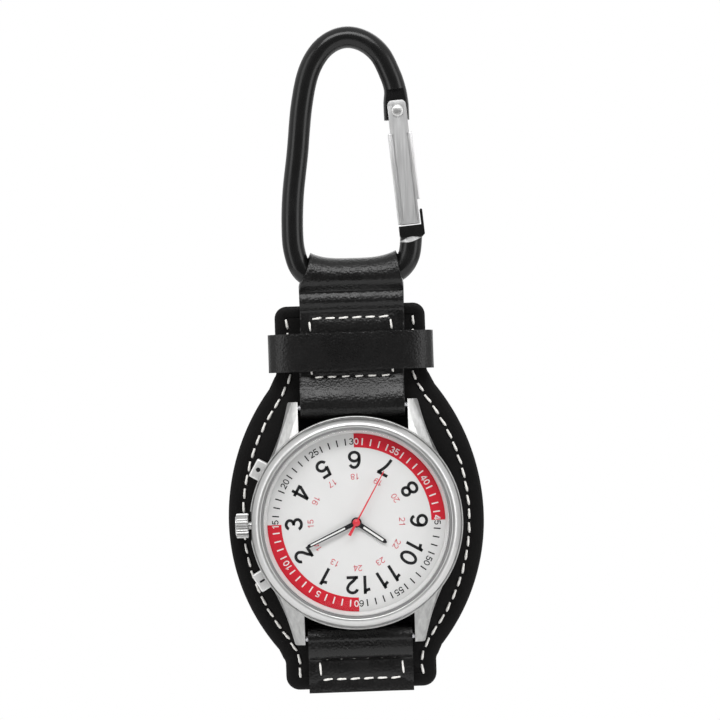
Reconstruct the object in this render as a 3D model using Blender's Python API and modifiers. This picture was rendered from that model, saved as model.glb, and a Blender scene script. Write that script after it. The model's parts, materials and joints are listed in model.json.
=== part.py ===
"""A fob watch: a wrist-style watch on a leather pad, hung from a snap hook by a leather loop.

Frame: +Z runs from the watch up to the hook, the dial faces -Y, and the origin is the
inside top of the hook, where it hangs. Sizes below are in millimetres; MM turns them into
metres. "Watch frame" means millimetres from the centre of the watch: x right, y back, z up.
"""

import math

import bmesh
import bpy
from mathutils import Matrix, Vector

MM = 0.001

# Whole object
HANG_DROP = 86.1          # hang point above the watch centre
CIRCLE_STEPS = 60         # facets of the large visible circles
HIDDEN_STEPS = 32         # facets of the inner circles
SMALL_STEPS = 12          # facets of pins and stems
GAP = 0.3                 # between touching pieces

# Snap hook
WIRE_R = 2.0
BAR_Z = 44.6              # centre of the hook's bottom bar
HINGE = (9.9, 74.5)       # x and z of the gate's rivet
GATE_TILT = math.radians(4.83)
GATE_LENGTH = 20.7
CHEEK_HALF = 1.7
CHEEK_OUT = 2.1
CHEEK_IN = 1.55
TAB_HALF = 1.4
RIVET_R = 0.8

# Leather
PAD_FRONT, PAD_SPLIT, PAD_BACK = 1.65, 3.15, 4.6
NECK_HALF = 13.75
PAD_TOP, PAD_BOTTOM = 39.6, -30.5
BULGE_HALF, BULGE_Z = 23.33, 0.5
UPPER_ARC_R, LOWER_ARC_R = 39.6, 37.0
STRAP_HALF = 9.5
LEATHER = 1.2
LAYER_Y = 0.75            # middle of the strap's front (-) and back (+) layers
KEEPER_LOW, KEEPER_HIGH = 27.6, 34.5
KEEPER_LEATHER = 1.1

# Watch case
CASE_R = 19.36
CASE_IN = 16.9
CASE_FRONT, CASE_REAR = -5.6, 0.9
BEZEL_R, BEZEL_IN = 18.9, 17.2
BEZEL_FRONT = -7.45
LUG_IN, LUG_TIP = 10.0, 22.1
LUG_FRONT = -5.35
LUG_SLOPE = math.radians(17.5)
LUG_FACET = 1.3           # how far in the outer facet starts
LUG_TIPPED = math.radians(42)
BAR_SPREAD = 21.0         # spring bars above and below the centre
BAR_Y = -1.2
STEM_Y = -2.4
DIAL_R, DIAL_SEEN = 16.6, 16.2
DIAL_FRONT, DIAL_REAR = -4.3, -3.9
CRYSTAL_R = 16.92
CRYSTAL_FRONT, CRYSTAL_REAR = -7.65, -6.25
BACK_R, BACK_REAR = 17.6, 1.35
CROWN_R, CROWN_INNER, CROWN_OUTER = 2.25, 19.4, 22.0
PUSHER_TURN = math.radians(30)
PUSHER_INNER, PUSHER_OUTER = 18.65, 21.25
PUSHER_SIZE = (2.7, 3.6)  # front to back, and along the case
PUSHER_PLAY = 0.1         # between a pusher and its pocket in the case
POCKET_FLOOR = 17.9
SPRING_ROOM_R, SPRING_ROOM_FLOOR = 1.3, 17.15
BAR_TUBE_R, BAR_TUBE_HALF, BAR_TIP_END = 0.78, 8.9, 10.8

# Hands: thickness, the front of each, and the radii of their nested tubes
HAND = 0.15
HOUR_FRONT, MINUTE_FRONT, SECOND_FRONT = -4.75, -5.2, -5.65
HOUR_TUBE, MINUTE_TUBE, SECOND_PIN = (0.85, 0.68), (0.6, 0.43), 0.35

# Movement: the centre of each wheel (x, z) off the watch's axis, and the plate's two faces
THIRD = (-4.0, 5.2)
INTERMEDIATE = (3.9, 1.9)
ROTOR = (5.9, 3.3)
MINUTE_WHEEL = (-1.9, -3.85)
PLATE_R, PLATE_FRONT, PLATE_REAR = 13.5, -3.15, -2.75

# Time shown, as turns clockwise from twelve, which points down
HOUR_TURN = math.radians(305.4)
MINUTE_TURN = math.radians(65.3)
SECOND_TURN = math.radians(210.0)

COLOURS = {
    "black_metal": ((0.012, 0.012, 0.013), 0.32, 0.6),
    "satin_steel": ((0.62, 0.62, 0.63), 0.35, 1.0),
    "polished_steel": ((0.78, 0.78, 0.79), 0.12, 1.0),
    "spring_steel": ((0.45, 0.45, 0.47), 0.3, 1.0),
    "pad_leather": ((0.014, 0.013, 0.013), 0.6, 0.0),
    "strap_leather": ((0.018, 0.016, 0.016), 0.45, 0.0),
    "glass": ((0.95, 0.97, 1.0), 0.02, 0.0),
    "black_rubber": ((0.02, 0.02, 0.02), 0.7, 0.0),
    "dial_white": ((0.8, 0.8, 0.79), 0.5, 0.0),
    "rehaut_white": ((0.75, 0.75, 0.75), 0.35, 0.0),
    "hand_black": ((0.02, 0.02, 0.022), 0.3, 0.0),
    "hand_red": ((0.65, 0.02, 0.04), 0.3, 0.0),
    "white_plastic": ((0.7, 0.7, 0.68), 0.5, 0.0),
    "brass": ((0.7, 0.52, 0.25), 0.3, 1.0),
    "copper": ((0.65, 0.3, 0.18), 0.35, 1.0),
    "green_board": ((0.02, 0.12, 0.05), 0.5, 0.0),
}


# ---------------------------------------------------------------- tools

def clear_scene():
    for old in list(bpy.data.objects):
        bpy.data.objects.remove(old, do_unlink=True)


def new_collection(name):
    made = bpy.data.collections.new(name)
    bpy.context.scene.collection.children.link(made)
    return made


def material(name):
    colour, roughness, metallic = COLOURS[name]
    made = bpy.data.materials.get(name)
    if made is None:
        made = bpy.data.materials.new(name)
        made.use_nodes = True
        shader = made.node_tree.nodes["Principled BSDF"]
        shader.inputs["Base Color"].default_value = (*colour, 1)
        shader.inputs["Roughness"].default_value = roughness
        shader.inputs["Metallic"].default_value = metallic
        made.diffuse_color = (*colour, 1)
    return made


def add(name, data, parent=None, place=(0, 0, 0), turn=(0, 0, 0)):
    """Links data as an object of the part; place is in millimetres under its parent."""
    obj = bpy.data.objects.new(name, data)
    PARTS.objects.link(obj)
    obj.parent = parent
    obj.location = Vector(place) * MM
    obj.rotation_euler = turn
    return obj


def empty(name, parent=None, place=(0, 0, 0), turn=(0, 0, 0)):
    return add(name, None, parent, place, turn)


def as_cutter(obj):
    obj.hide_render = True
    obj.display_type = "WIRE"
    PARTS.objects.unlink(obj)
    CUTTERS.objects.link(obj)
    return obj


def mesh_of(bm, name):
    mesh = bpy.data.meshes.new(name)
    bm.to_mesh(mesh)
    bm.free()
    return mesh


def box(name, low, high, parent=None, place=(0, 0, 0), turn=(0, 0, 0)):
    """A box between two corners, in millimetres of its own frame."""
    low, high = Vector(low) * MM, Vector(high) * MM
    bm = bmesh.new()
    bmesh.ops.create_cube(bm, size=1)
    bmesh.ops.scale(bm, vec=high - low, verts=bm.verts)
    bmesh.ops.translate(bm, vec=(low + high) / 2, verts=bm.verts)
    return add(name, mesh_of(bm, name), parent, place, turn)


def rod(name, radius, low, high, axis="Z", steps=SMALL_STEPS, parent=None, place=(0, 0, 0)):
    """A cylinder along a local axis, from low to high."""
    bm = bmesh.new()
    bmesh.ops.create_cone(bm, cap_ends=True, segments=steps, radius1=radius * MM,
                          radius2=radius * MM, depth=(high - low) * MM)
    bmesh.ops.translate(bm, vec=(0, 0, (low + high) / 2 * MM), verts=bm.verts)
    turned_to = {"X": Matrix.Rotation(math.pi / 2, 3, "Y"),
                 "Y": Matrix.Rotation(-math.pi / 2, 3, "X"),
                 "Z": Matrix.Identity(3)}[axis]
    bmesh.ops.rotate(bm, cent=(0, 0, 0), matrix=turned_to, verts=bm.verts)
    return add(name, mesh_of(bm, name), parent, place)


def signed_area(points):
    pairs = zip(points, points[1:] + points[:1])
    return sum(a[0] * b[1] - b[0] * a[1] for a, b in pairs) / 2


def turned(name, profile, axis="Z", steps=HIDDEN_STEPS, parent=None, place=(0, 0, 0),
           turn=(0, 0, 0)):
    """Turns a profile of (radius, distance along the axis) points.

    A profile that begins and ends on the axis makes a solid piece, any other a ring."""
    points = list(profile)
    if signed_area(points) > 0:
        points.reverse()
    mesh = bpy.data.meshes.new(name)
    verts = [(r * MM, 0, h * MM) for r, h in points]
    edges = [(i, i + 1) for i in range(len(verts) - 1)]
    solid = points[0][0] == 0 and points[-1][0] == 0
    if not solid:
        edges.append((len(verts) - 1, 0))
    mesh.from_pydata(verts, edges, [])
    obj = add(name, mesh, parent, place, turn)
    screw = obj.modifiers.new("Turn", "SCREW")
    screw.steps = steps
    screw.render_steps = steps
    screw.use_merge_vertices = True
    screw.merge_threshold = 1e-7
    obj = settled(obj)
    align = {"X": Matrix.Rotation(math.pi / 2, 4, "Y"),
             "Y": Matrix.Rotation(-math.pi / 2, 4, "X"),
             "Z": Matrix.Identity(4)}[axis]
    obj.data.transform(align)
    return obj


def plate(name, outline, low, high, axis="Y", parent=None, place=(0, 0, 0), holes=()):
    """A flat outline, with holes, extruded between two distances along an axis.

    For axis Y the outline's points are (x, z), and for X they are (y, z)."""
    curve = bpy.data.curves.new(name, "CURVE")
    curve.dimensions = "2D"
    curve.fill_mode = "BOTH"
    curve.extrude = (high - low) / 2 * MM
    for loop in (outline, *holes):
        spline = curve.splines.new("POLY")
        spline.points.add(len(loop) - 1)
        for point, (a, b) in zip(spline.points, loop):
            point.co = (a * MM, b * MM, 0, 1)
        spline.use_cyclic_u = True
    obj = settled(add(name, curve, parent, place))
    obj.data.transform(Matrix.Translation((0, 0, (low + high) / 2 * MM)))
    if axis == "Y":
        obj.data.transform(Matrix(((1, 0, 0, 0), (0, 0, 1, 0), (0, 1, 0, 0), (0, 0, 0, 1))))
        obj.data.flip_normals()
    else:
        obj.data.transform(Matrix(((0, 0, 1, 0), (1, 0, 0, 0), (0, 1, 0, 0), (0, 0, 0, 1))))
    return obj


def wire(name, points, radius, resolution, parent=None, place=(0, 0, 0), turn=(0, 0, 0)):
    """A round wire along (x, y, z) points, or (x, y, z, scale) where its thickness changes.

    It has 4 + 2 * resolution sides."""
    curve = bpy.data.curves.new(name, "CURVE")
    curve.dimensions = "3D"
    curve.bevel_depth = radius * MM
    curve.bevel_resolution = resolution
    curve.use_fill_caps = True
    spline = curve.splines.new("POLY")
    spline.points.add(len(points) - 1)
    for point, co in zip(spline.points, points):
        point.co = (*(Vector(co[:3]) * MM), 1)
        point.radius = co[3] if len(co) > 3 else 1
    return settled(add(name, curve, parent, place, turn))


def coil(name, radius, wire_r, turns, low, high, parent, place=(0, 0, 0), turn=(0, 0, 0),
         per_turn=8):
    """An open coil spring along local Z."""
    count = round(turns * per_turn)
    points = []
    for i in range(count + 1):
        angle = 2 * math.pi * i / per_turn
        height = low + (high - low) * i / count
        points.append((radius * math.cos(angle), radius * math.sin(angle), height))
    return wire(name, points, wire_r, 0, parent, place, turn)


def ribbon(name, rows, thickness, closed=False, parent=None):
    """A strip of leather: an open sheet through rows of points, thickened by Solidify."""
    bm = bmesh.new()
    grid = [[bm.verts.new(Vector(p) * MM) for p in row] for row in rows]
    pairs = list(zip(grid, grid[1:]))
    if closed:
        pairs.append((grid[-1], grid[0]))
    for near, far in pairs:
        for i in range(len(near) - 1):
            bm.faces.new((near[i], near[i + 1], far[i + 1], far[i]))
    obj = add(name, mesh_of(bm, name), parent)
    thick = obj.modifiers.new("Leather", "SOLIDIFY")
    thick.thickness = thickness * MM
    thick.offset = 0
    thick.use_even_offset = True
    return settled(obj)


def settled(obj, angle=32):
    """Applies the object's modifiers, or makes a curve a welded mesh, and shades it."""
    bpy.context.view_layer.update()
    graph = bpy.context.evaluated_depsgraph_get()
    mesh = bpy.data.meshes.new_from_object(obj.evaluated_get(graph), depsgraph=graph)
    mesh.name = obj.name
    bm = bmesh.new()
    bm.from_mesh(mesh)
    bmesh.ops.remove_doubles(bm, verts=bm.verts, dist=1e-7)
    bmesh.ops.recalc_face_normals(bm, faces=bm.faces)
    bm.to_mesh(mesh)
    bm.free()
    mesh.shade_smooth()
    mesh.set_sharp_from_angle(angle=math.radians(angle))
    if obj.type == "MESH":
        obj.modifiers.clear()
        obj.data = mesh
        return obj
    name, parent = obj.name, obj.parent
    place, turn = obj.location.copy(), obj.rotation_euler.copy()
    bpy.data.objects.remove(obj, do_unlink=True)
    return add(name, mesh, parent, place / MM, turn)


def boolean(obj, others, operation):
    """Cuts others from obj, or joins them to it, and keeps only the result."""
    for other in others:
        step = obj.modifiers.new(operation.title(), "BOOLEAN")
        step.operation = operation
        step.solver = "EXACT"
        step.object = as_cutter(other)
    result = settled(obj)
    if operation == "UNION":
        for other in others:
            bpy.data.objects.remove(other, do_unlink=True)
    return result


def cut(obj, *cutters):
    return boolean(obj, cutters, "DIFFERENCE")


def join(obj, *others):
    return boolean(obj, others, "UNION")


def paint(obj, name):
    obj.data.materials.clear()
    obj.data.materials.append(material(name))
    return obj


def bevelled(obj, width, segments=1, angle=30):
    """Rounds the edges that are sharper than an angle."""
    bevel = obj.modifiers.new("Edges", "BEVEL")
    bevel.width = width * MM
    bevel.segments = segments
    bevel.limit_method = "ANGLE"
    bevel.angle_limit = math.radians(angle)
    bevel.use_clamp_overlap = True
    return settled(obj)


def arc(centre, radius, start, end, count):
    """Points along an arc, with angles in degrees from +x towards the second axis."""
    made = []
    for i in range(count + 1):
        angle = math.radians(start + (end - start) * i / count)
        made.append((centre[0] + radius * math.cos(angle), centre[1] + radius * math.sin(angle)))
    return made


def circle(centre, radius, count):
    return arc(centre, radius, 0, 360, count)[:-1]


def through(points, per_span):
    """A smooth curve (Catmull-Rom) through a short list of points."""
    made = []
    padded = [points[0], *points, points[-1]]
    for a, b, c, d in zip(padded, padded[1:], padded[2:], padded[3:]):
        for i in range(per_span):
            t = i / per_span
            made.append(tuple(
                0.5 * (2 * q + (r - p) * t + (2 * p - 5 * q + 4 * r - s) * t * t
                       + (3 * q - p - 3 * r + s) * t ** 3)
                for p, q, r, s in zip(a, b, c, d)))
    made.append(points[-1])
    return made


# ---------------------------------------------------------------- snap hook

def make_hook_body(watch):
    """The bent wire: a tab for the gate's rivet at one end and a nose at the other."""
    spine = [(9.78, 0, 72.9, 1.16), (9.74, 0, 76.0, 1.16), (9.62, 0, 78.6, 1.02),
             (8.8, 0, 81.4), (7.1, 0, 85.0), (4.5, 0, 87.35), (1.4, 0, 88.3),
             (-1.6, 0, 87.6), (-4.2, 0, 85.4), (-6.2, 0, 81.6), (-7.55, 0, 75.6),
             (-8.5, 0, 67.6), (-9.6, 0, 59.5), (-9.9, 0, 52.6), (-9.5, 0, 48.9),
             (-8.5, 0, 46.3), (-6.6, 0, 44.85), (-3.2, 0, BAR_Z), (3.6, 0, BAR_Z),
             (7.0, 0, 44.75), (9.6, 0, 45.9), (11.2, 0, 48.3), (11.75, 0, 51.9)]
    route = through([(*p, 1) if len(p) == 3 else p for p in spine], 3)
    body = wire("carabiner_body", route, WIRE_R, 3, watch)
    nose = plate("nose", nose_outline(), -CHEEK_OUT, CHEEK_OUT, "Y", GATE_FRAME)
    body = join(body, nose)
    flats = [tab_flat(side) for side in (-1, 1)]
    hole = rod("tab_hole", RIVET_R + 0.08, -5, 5, "Y", SMALL_STEPS, GATE_FRAME)
    return paint(cut(body, *flats, hole), "black_metal")


def tab_flat(side):
    """The slab cut from one face of the wire's end, so that the gate's cheek fits over it."""
    low, high = sorted((side * TAB_HALF, side * 6))
    return box(f"tab_flat_{side}", (-3.2, low, -3.5), (3.4, high, 4.0), GATE_FRAME)


def nose_outline():
    """The nose in the gate's frame: a block below the gate's end, and an outer lip."""
    top, low = -GATE_LENGTH - GAP, -GATE_LENGTH - 2.5
    return [(-2.0, low), (-2.2, low + 0.5), (-2.2, top), (1.92, top), (1.92, -18.2),
            (2.35, -18.4), (2.4, -20.5), (2.4, low + 0.5), (2.0, low)]


def make_gate():
    """The folded sheet gate: two cheeks over the tab, and a channel down to the nose."""
    wall, top, floor, lip_end = 0.5, -4.0, -11.5, -16.3
    wing_half, wing_out = 2.2, 1.75
    corner, cheek_top = 0.9, 1.9
    outline = ([(-CHEEK_HALF, -GATE_LENGTH), (CHEEK_HALF, -GATE_LENGTH)]
               + arc((CHEEK_HALF - corner, cheek_top - corner), corner, 0, 90, 4)
               + arc((corner - CHEEK_HALF, cheek_top - corner), corner, 90, 180, 4))
    gate = plate("carabiner_gate", outline, -CHEEK_OUT, CHEEK_OUT, "Y", GATE_FRAME)
    wings = box("gate_wings", (-wing_half, -wing_out, -GATE_LENGTH + 0.1),
                (wing_half, wing_out, top), GATE_FRAME)
    gate = bevelled(join(gate, wings), 0.12)
    slot = box("gate_slot", (-4, -CHEEK_IN, top + 0.01), (4, CHEEK_IN, 4), GATE_FRAME)
    inside = wing_half - wall
    upper = box("gate_bore", (-inside, -CHEEK_IN, floor), (inside, CHEEK_IN, top + 1), GATE_FRAME)
    lower = box("gate_end", (-inside, -CHEEK_IN, -30), (inside, CHEEK_IN, floor - 0.6), GATE_FRAME)
    lip_room = box("gate_lip_room", (CHEEK_HALF + 0.02, -4, -30), (4, 4, lip_end), GATE_FRAME)
    hole = rod("gate_hole", RIVET_R + 0.08, -5, 5, "Y", SMALL_STEPS, GATE_FRAME)
    return paint(cut(gate, slot, upper, lower, lip_room, hole), "satin_steel")


def make_gate_fittings():
    """The rivet through the cheeks, and the plunger and spring that push the gate shut."""
    head, dome = CHEEK_OUT + 0.06, 0.45
    half = [(RIVET_R, head), (1.1, head), (1.1, head + 0.15), (0.75, head + dome - 0.06)]
    profile = ([(0, -head - dome)] + [(r, -y) for r, y in reversed(half)]
               + half + [(0, head + dome)])
    paint(turned("gate_rivet", profile, "Y", 20, GATE_FRAME), "satin_steel")
    tip = [(0, -5.9), (0.35, -5.9), (0.35, -4.9), (0.95, -4.9), (0.95, -4.3), (0.5, -3.6), (0, -3.45)]
    paint(turned("gate_plunger", tip, "Z", SMALL_STEPS, GATE_FRAME), "satin_steel")
    paint(coil("gate_spring", 0.75, 0.18, 5, -11.2, -5.2, GATE_FRAME), "spring_steel")


# ---------------------------------------------------------------- leather

def pad_outline():
    """The pad seen from the front: two necks, and a side bulge of two arcs."""
    top_r, bottom_r, neck_r = 2.2, 2.5, 1.6
    upper_neck_z, lower_neck_z = 27.7, -25.7
    right = arc((NECK_HALF - top_r, PAD_TOP - top_r), top_r, 90, 0, 5)
    right += arc((NECK_HALF + neck_r, upper_neck_z), neck_r, 180, 221, 3)
    right += arc((BULGE_HALF - UPPER_ARC_R, BULGE_Z), UPPER_ARC_R, 37.5, 0, 13)
    right += arc((BULGE_HALF - LOWER_ARC_R, BULGE_Z), LOWER_ARC_R, 0, -39.5, 13)[1:]
    right += arc((NECK_HALF + neck_r, lower_neck_z), neck_r, 139, 180, 3)
    right += arc((NECK_HALF - bottom_r, PAD_BOTTOM + bottom_r), bottom_r, 0, -90, 5)
    return right + [(-x, z) for x, z in reversed(right)]


def make_pad(watch):
    face = plate("pad_face", pad_outline(), PAD_FRONT, PAD_SPLIT, "Y", watch)
    lining = plate("pad_lining", pad_outline(), PAD_SPLIT + 0.05, PAD_BACK, "Y", watch)
    paint(face, "pad_leather")
    paint(lining, "pad_leather")


def loop_rows(route, left, right, flare, centre, columns):
    """Rows of a strap across x. The route is (y, z) points; flare opens it at its edges."""
    rows = []
    for y, z in route:
        away = Vector((y - centre[0], z - centre[1]))
        row = []
        for i in range(columns + 1):
            s = i / columns * 2 - 1
            lift = flare(z) * abs(s) ** 4
            move = away.normalized() * lift if away.length else Vector((0, 0))
            x = left(z) * (1 - s) / 2 + right(z) * (1 + s) / 2
            row.append((x, y + move.x, z + move.y))
        rows.append(row)
    return rows


def make_upper_strap(watch):
    """One strip: its tail, round the spring bar, up the front, over the hook, down the back."""
    bar_r = BAR_TUBE_R + 0.2 + LEATHER / 2
    hook_r = WIRE_R + 0.25 + LEATHER / 2
    tail = [(LAYER_Y, 30.6), (LAYER_Y, 26.4), (0.55, 23.9)]
    round_bar = arc((BAR_Y, BAR_SPREAD), bar_r, 25, -205, 10)
    front = [(-2.25, 23.6), (-1.35, 25.4), (-LAYER_Y, 27.2), (-LAYER_Y, 33.0), (-LAYER_Y, 38.4),
             (-0.95, 39.6), (-1.75, 41.0)]
    over_bar = arc((0, BAR_Z), hook_r, 205, -25, 12)
    back = [(1.75, 41.0), (0.95, 39.6), (LAYER_Y, 38.4), (LAYER_Y, 34.0), (LAYER_Y, 31.2)]
    route = tail + round_bar + front + over_bar + back

    def narrowing(z, edge):
        amount = min(max((z - 42.5) / 4.0, 0), 1)
        return STRAP_HALF + (edge - STRAP_HALF) * amount * amount * (3 - 2 * amount)

    def flare(z):
        return 1.3 * min(max((z - 41.0) / 3.0, 0), 1)

    rows = loop_rows(route, lambda z: -narrowing(z, 7.1), lambda z: narrowing(z, 8.3),
                     flare, (0, BAR_Z), 4)
    paint(ribbon("upper_strap", rows, LEATHER, parent=watch), "strap_leather")


def make_lower_strap(watch):
    """One strip folded round the lower spring bar and sewn to the pad."""
    bar_r = BAR_TUBE_R + 0.2 + LEATHER / 2
    tail = [(LAYER_Y, -30.0), (LAYER_Y, -26.0), (0.55, -23.9)]
    round_bar = arc((BAR_Y, -BAR_SPREAD), bar_r, -25, 205, 10)
    front = [(-2.25, -23.6), (-1.35, -25.0), (-LAYER_Y, -26.4), (-LAYER_Y, -30.9)]
    route = tail + round_bar + front
    rows = loop_rows(route, lambda z: -STRAP_HALF, lambda z: STRAP_HALF,
                     lambda z: 0, (0, 0), 1)
    paint(ribbon("lower_strap", rows, LEATHER, parent=watch), "strap_leather")


def keeper_section():
    """The keeper's middle line in the x, y plane: over the strap, round the pad's neck."""
    half = KEEPER_LEATHER / 2
    front = -LAYER_Y - LEATHER / 2 - GAP - half
    side = NECK_HALF + 0.2 + half
    rear = PAD_BACK + GAP + half
    right = [(0, front), (5.5, front), (10.0, front), (11.4, front + 0.25),
             (13.2, front + 1.3), (side - 0.15, front + 2.6)]
    right += arc((side - 1.2, rear - 1.2), 1.2, 0, 90, 3)
    left = [(-x, y) for x, y in reversed(right) if x > 0]
    return right + [(0, rear)] + left


def make_keeper(watch):
    rows = [[(x, y, KEEPER_LOW), (x, y, KEEPER_HIGH)] for x, y in keeper_section()]
    keeper = ribbon("keeper_band", rows, KEEPER_LEATHER, closed=True, parent=watch)
    paint(bevelled(keeper, 0.25, 2, 60), "strap_leather")


# ---------------------------------------------------------------- watch case

def make_case_middle(watch):
    """The ring of the case with its four lugs, bored for the crown, pushers and spring bars."""
    edge = 0.35
    ring = [(CASE_R, CASE_REAR - 1.1), (CASE_R, CASE_FRONT + edge), (CASE_R - edge, CASE_FRONT),
            (CASE_IN - 1, CASE_FRONT), (CASE_IN - 1, CASE_REAR), (CASE_R - 1.6, CASE_REAR),
            (CASE_R - 0.5, CASE_REAR - 0.4)]
    case = turned("case_middle", ring, "Y", CIRCLE_STEPS, watch)
    lugs = [make_lug(watch, side, end) for side in (-1, 1) for end in (-1, 1)]
    case = join(case, *lugs)
    cuts = [rod("case_inside", CASE_IN, -12, 12, "Y", CIRCLE_STEPS, watch)]
    for end in (-1, 1):
        bar, loop = (0, BAR_Y, end * BAR_SPREAD), LUG_IN - 0.1
        cuts.append(rod(f"loop_room_{end}", 2.5, -loop, loop, "X", 24, watch, bar))
        cuts.append(rod(f"bar_hole_{end}", 0.5, -11.3, 11.3, "X", SMALL_STEPS, watch, bar))
    cuts.append(rod("crown_face", 2.65, 19.0, 24, "X", 24, SIDE[0], STEM))
    cuts.append(rod("crown_bore", 1.3, 10, 24, "X", SMALL_STEPS, SIDE[0], STEM))
    for turn in (-1, 1):
        cuts.append(rod(f"pusher_bore_{turn}", 0.88, 10, 24, "X", SMALL_STEPS, SIDE[turn], STEM))
        cuts.append(rod(f"spring_room_{turn}", SPRING_ROOM_R, SPRING_ROOM_FLOOR, 24, "X", 20,
                        SIDE[turn], STEM))
        deep, tall = (size / 2 + PUSHER_PLAY for size in PUSHER_SIZE)
        cuts.append(box(f"pusher_pocket_{turn}", (POCKET_FLOOR, -deep, -tall), (24, deep, tall),
                        SIDE[turn], STEM))
    return paint(cut(case, *cuts), "polished_steel")


def make_lug(watch, side, end):
    """The upper right lug, mirrored to where it belongs.

    Its front slopes down to its tip, and a second facet runs along its outer edge."""
    name = f"lug_{side}_{end}"
    root, tip = (15.7, 11.2), (11.95, LUG_TIP - 0.5)
    outline = [(LUG_IN, 13.0), (LUG_IN, LUG_TIP), (11.7, LUG_TIP), tip, (12.55, 19.35),
               (13.4, 16.5), (14.85, 13.1), root, (13.0, 10.8)]
    lug = plate(name, outline, LUG_FRONT, CASE_REAR - 0.1, "Y", watch)
    top = box(name + "_top", (-20, -8, -6), (20, 0, 20), watch, (0, LUG_FRONT, 12.0),
              (-LUG_SLOPE, 0, 0))
    fall = (tip[1] - root[1]) * math.tan(LUG_SLOPE)
    along = Vector((tip[0] - root[0], fall, tip[1] - root[1])).normalized()
    outwards = along.cross(Vector((0, 1, 0))).normalized() * -1
    normal = outwards * math.cos(LUG_TIPPED) + Vector((0, -1, 0)) * math.sin(LUG_TIPPED)
    normal = (normal - along * normal.dot(along)).normalized()
    frame = Matrix((normal, along.cross(normal), along)).transposed()
    side_cut = box(name + "_side", (0, -12, -20), (8, 12, 20), watch,
                   (root[0] - LUG_FACET, LUG_FRONT, root[1]), frame.to_euler())
    lug = bevelled(cut(lug, top, side_cut), 0.15, 1, 25)
    lug.data.transform(Matrix.Diagonal((side, 1, end, 1)))
    if side * end < 0:
        lug.data.flip_normals()
    return lug


def make_case_rings(watch):
    """Bezel, crystal and its gasket, rehaut, and the back with its gasket."""
    top, low = CASE_FRONT - 0.05, BEZEL_FRONT
    bezel = [(BEZEL_R - 0.3, top), (BEZEL_R, top - 0.3), (BEZEL_R, top - 0.55),
             (BEZEL_R - 0.35, top - 1.15), (BEZEL_R - 0.85, low + 0.08), (BEZEL_R - 1.15, low),
             (BEZEL_IN + 0.2, low), (BEZEL_IN, low + 0.2), (BEZEL_IN, top)]
    paint(turned("bezel", bezel, "Y", CIRCLE_STEPS, watch), "polished_steel")
    seal_in, seal_out = CRYSTAL_R + 0.06, BEZEL_IN - 0.05
    seal = [(seal_out, low + 0.25), (seal_in, low + 0.25), (seal_in, top), (seal_out, top)]
    paint(turned("crystal_gasket", seal, "Y", CIRCLE_STEPS, watch), "black_rubber")
    glass = [(0, CRYSTAL_REAR), (CRYSTAL_R, CRYSTAL_REAR), (CRYSTAL_R, CRYSTAL_FRONT + 0.3),
             (CRYSTAL_R - 0.32, CRYSTAL_FRONT), (0, CRYSTAL_FRONT)]
    paint(turned("crystal", glass, "Y", CIRCLE_STEPS, watch), "glass")
    outer, front, rear = CASE_IN - 0.05, CRYSTAL_REAR + 0.1, DIAL_FRONT - 0.3
    slope = [(outer, front), (outer - 0.25, front), (DIAL_SEEN, rear), (outer, rear)]
    paint(turned("rehaut_ring", slope, "Y", CIRCLE_STEPS, watch), "rehaut_white")
    step, under = CASE_IN - 0.9, CASE_REAR + 0.05
    back = [(0, 0.35), (step, 0.35), (step, under), (BACK_R, under), (BACK_R, BACK_REAR - 0.2),
            (BACK_R - 0.4, BACK_REAR), (0, BACK_REAR)]
    paint(turned("case_back", back, "Y", CIRCLE_STEPS, watch), "satin_steel")
    ring = [(step + 0.1, 0.4), (CASE_IN - 0.1, 0.4), (CASE_IN - 0.1, 0.88), (step + 0.1, 0.88)]
    paint(turned("case_back_gasket", ring, "Y", HIDDEN_STEPS, watch), "black_rubber")


def make_crown():
    """The fluted crown with its stem, and the tube and seal that it slides in."""
    side, teeth, rim = SIDE[0], 24, CROWN_OUTER - 0.65
    flutes = []
    for i in range(teeth):
        for step, radius in ((0.0, CROWN_R), (0.5, CROWN_R - 0.2)):
            angle = 2 * math.pi * (i + step) / teeth
            flutes.append((radius * math.cos(angle), radius * math.sin(angle)))
    crown = plate("crown", flutes, CROWN_INNER, rim, "X", side, STEM)
    cap = [(0, rim - 0.15), (1.9, rim - 0.15), (1.88, rim + 0.25), (1.6, rim + 0.5),
           (1.1, rim + 0.6), (0, CROWN_OUTER)]
    crown = join(crown, turned("crown_cap", cap, "X", HIDDEN_STEPS, side, STEM))
    socket = rod("crown_socket", 0.72, 15, 20.6, "X", SMALL_STEPS, side, STEM)
    paint(cut(crown, socket), "polished_steel")
    stem = [(0, 20.4), (0.65, 20.4), (0.65, 14.2), (0.5, 14.0), (0.5, 11.0), (0, 11.0)]
    paint(turned("crown_stem", stem, "X", SMALL_STEPS, side, STEM), "spring_steel")
    tube = [(1.24, 16.95), (1.24, 18.9), (1.02, 18.9), (1.02, 16.95)]
    paint(turned("crown_tube", tube, "X", 24, side, STEM), "spring_steel")
    seal = [(0.96, 17.6), (0.96, 18.3), (0.74, 18.3), (0.74, 17.6)]
    paint(turned("crown_gasket", seal, "X", 20, side, STEM), "black_rubber")
    pinion = [(1.1, 11.8), (1.1, 12.6), (0.8, 12.7), (0.8, 13.2), (0.56, 13.2), (0.56, 11.8)]
    paint(turned("sliding_pinion", pinion, "X", SMALL_STEPS, side, STEM), "brass")


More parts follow.
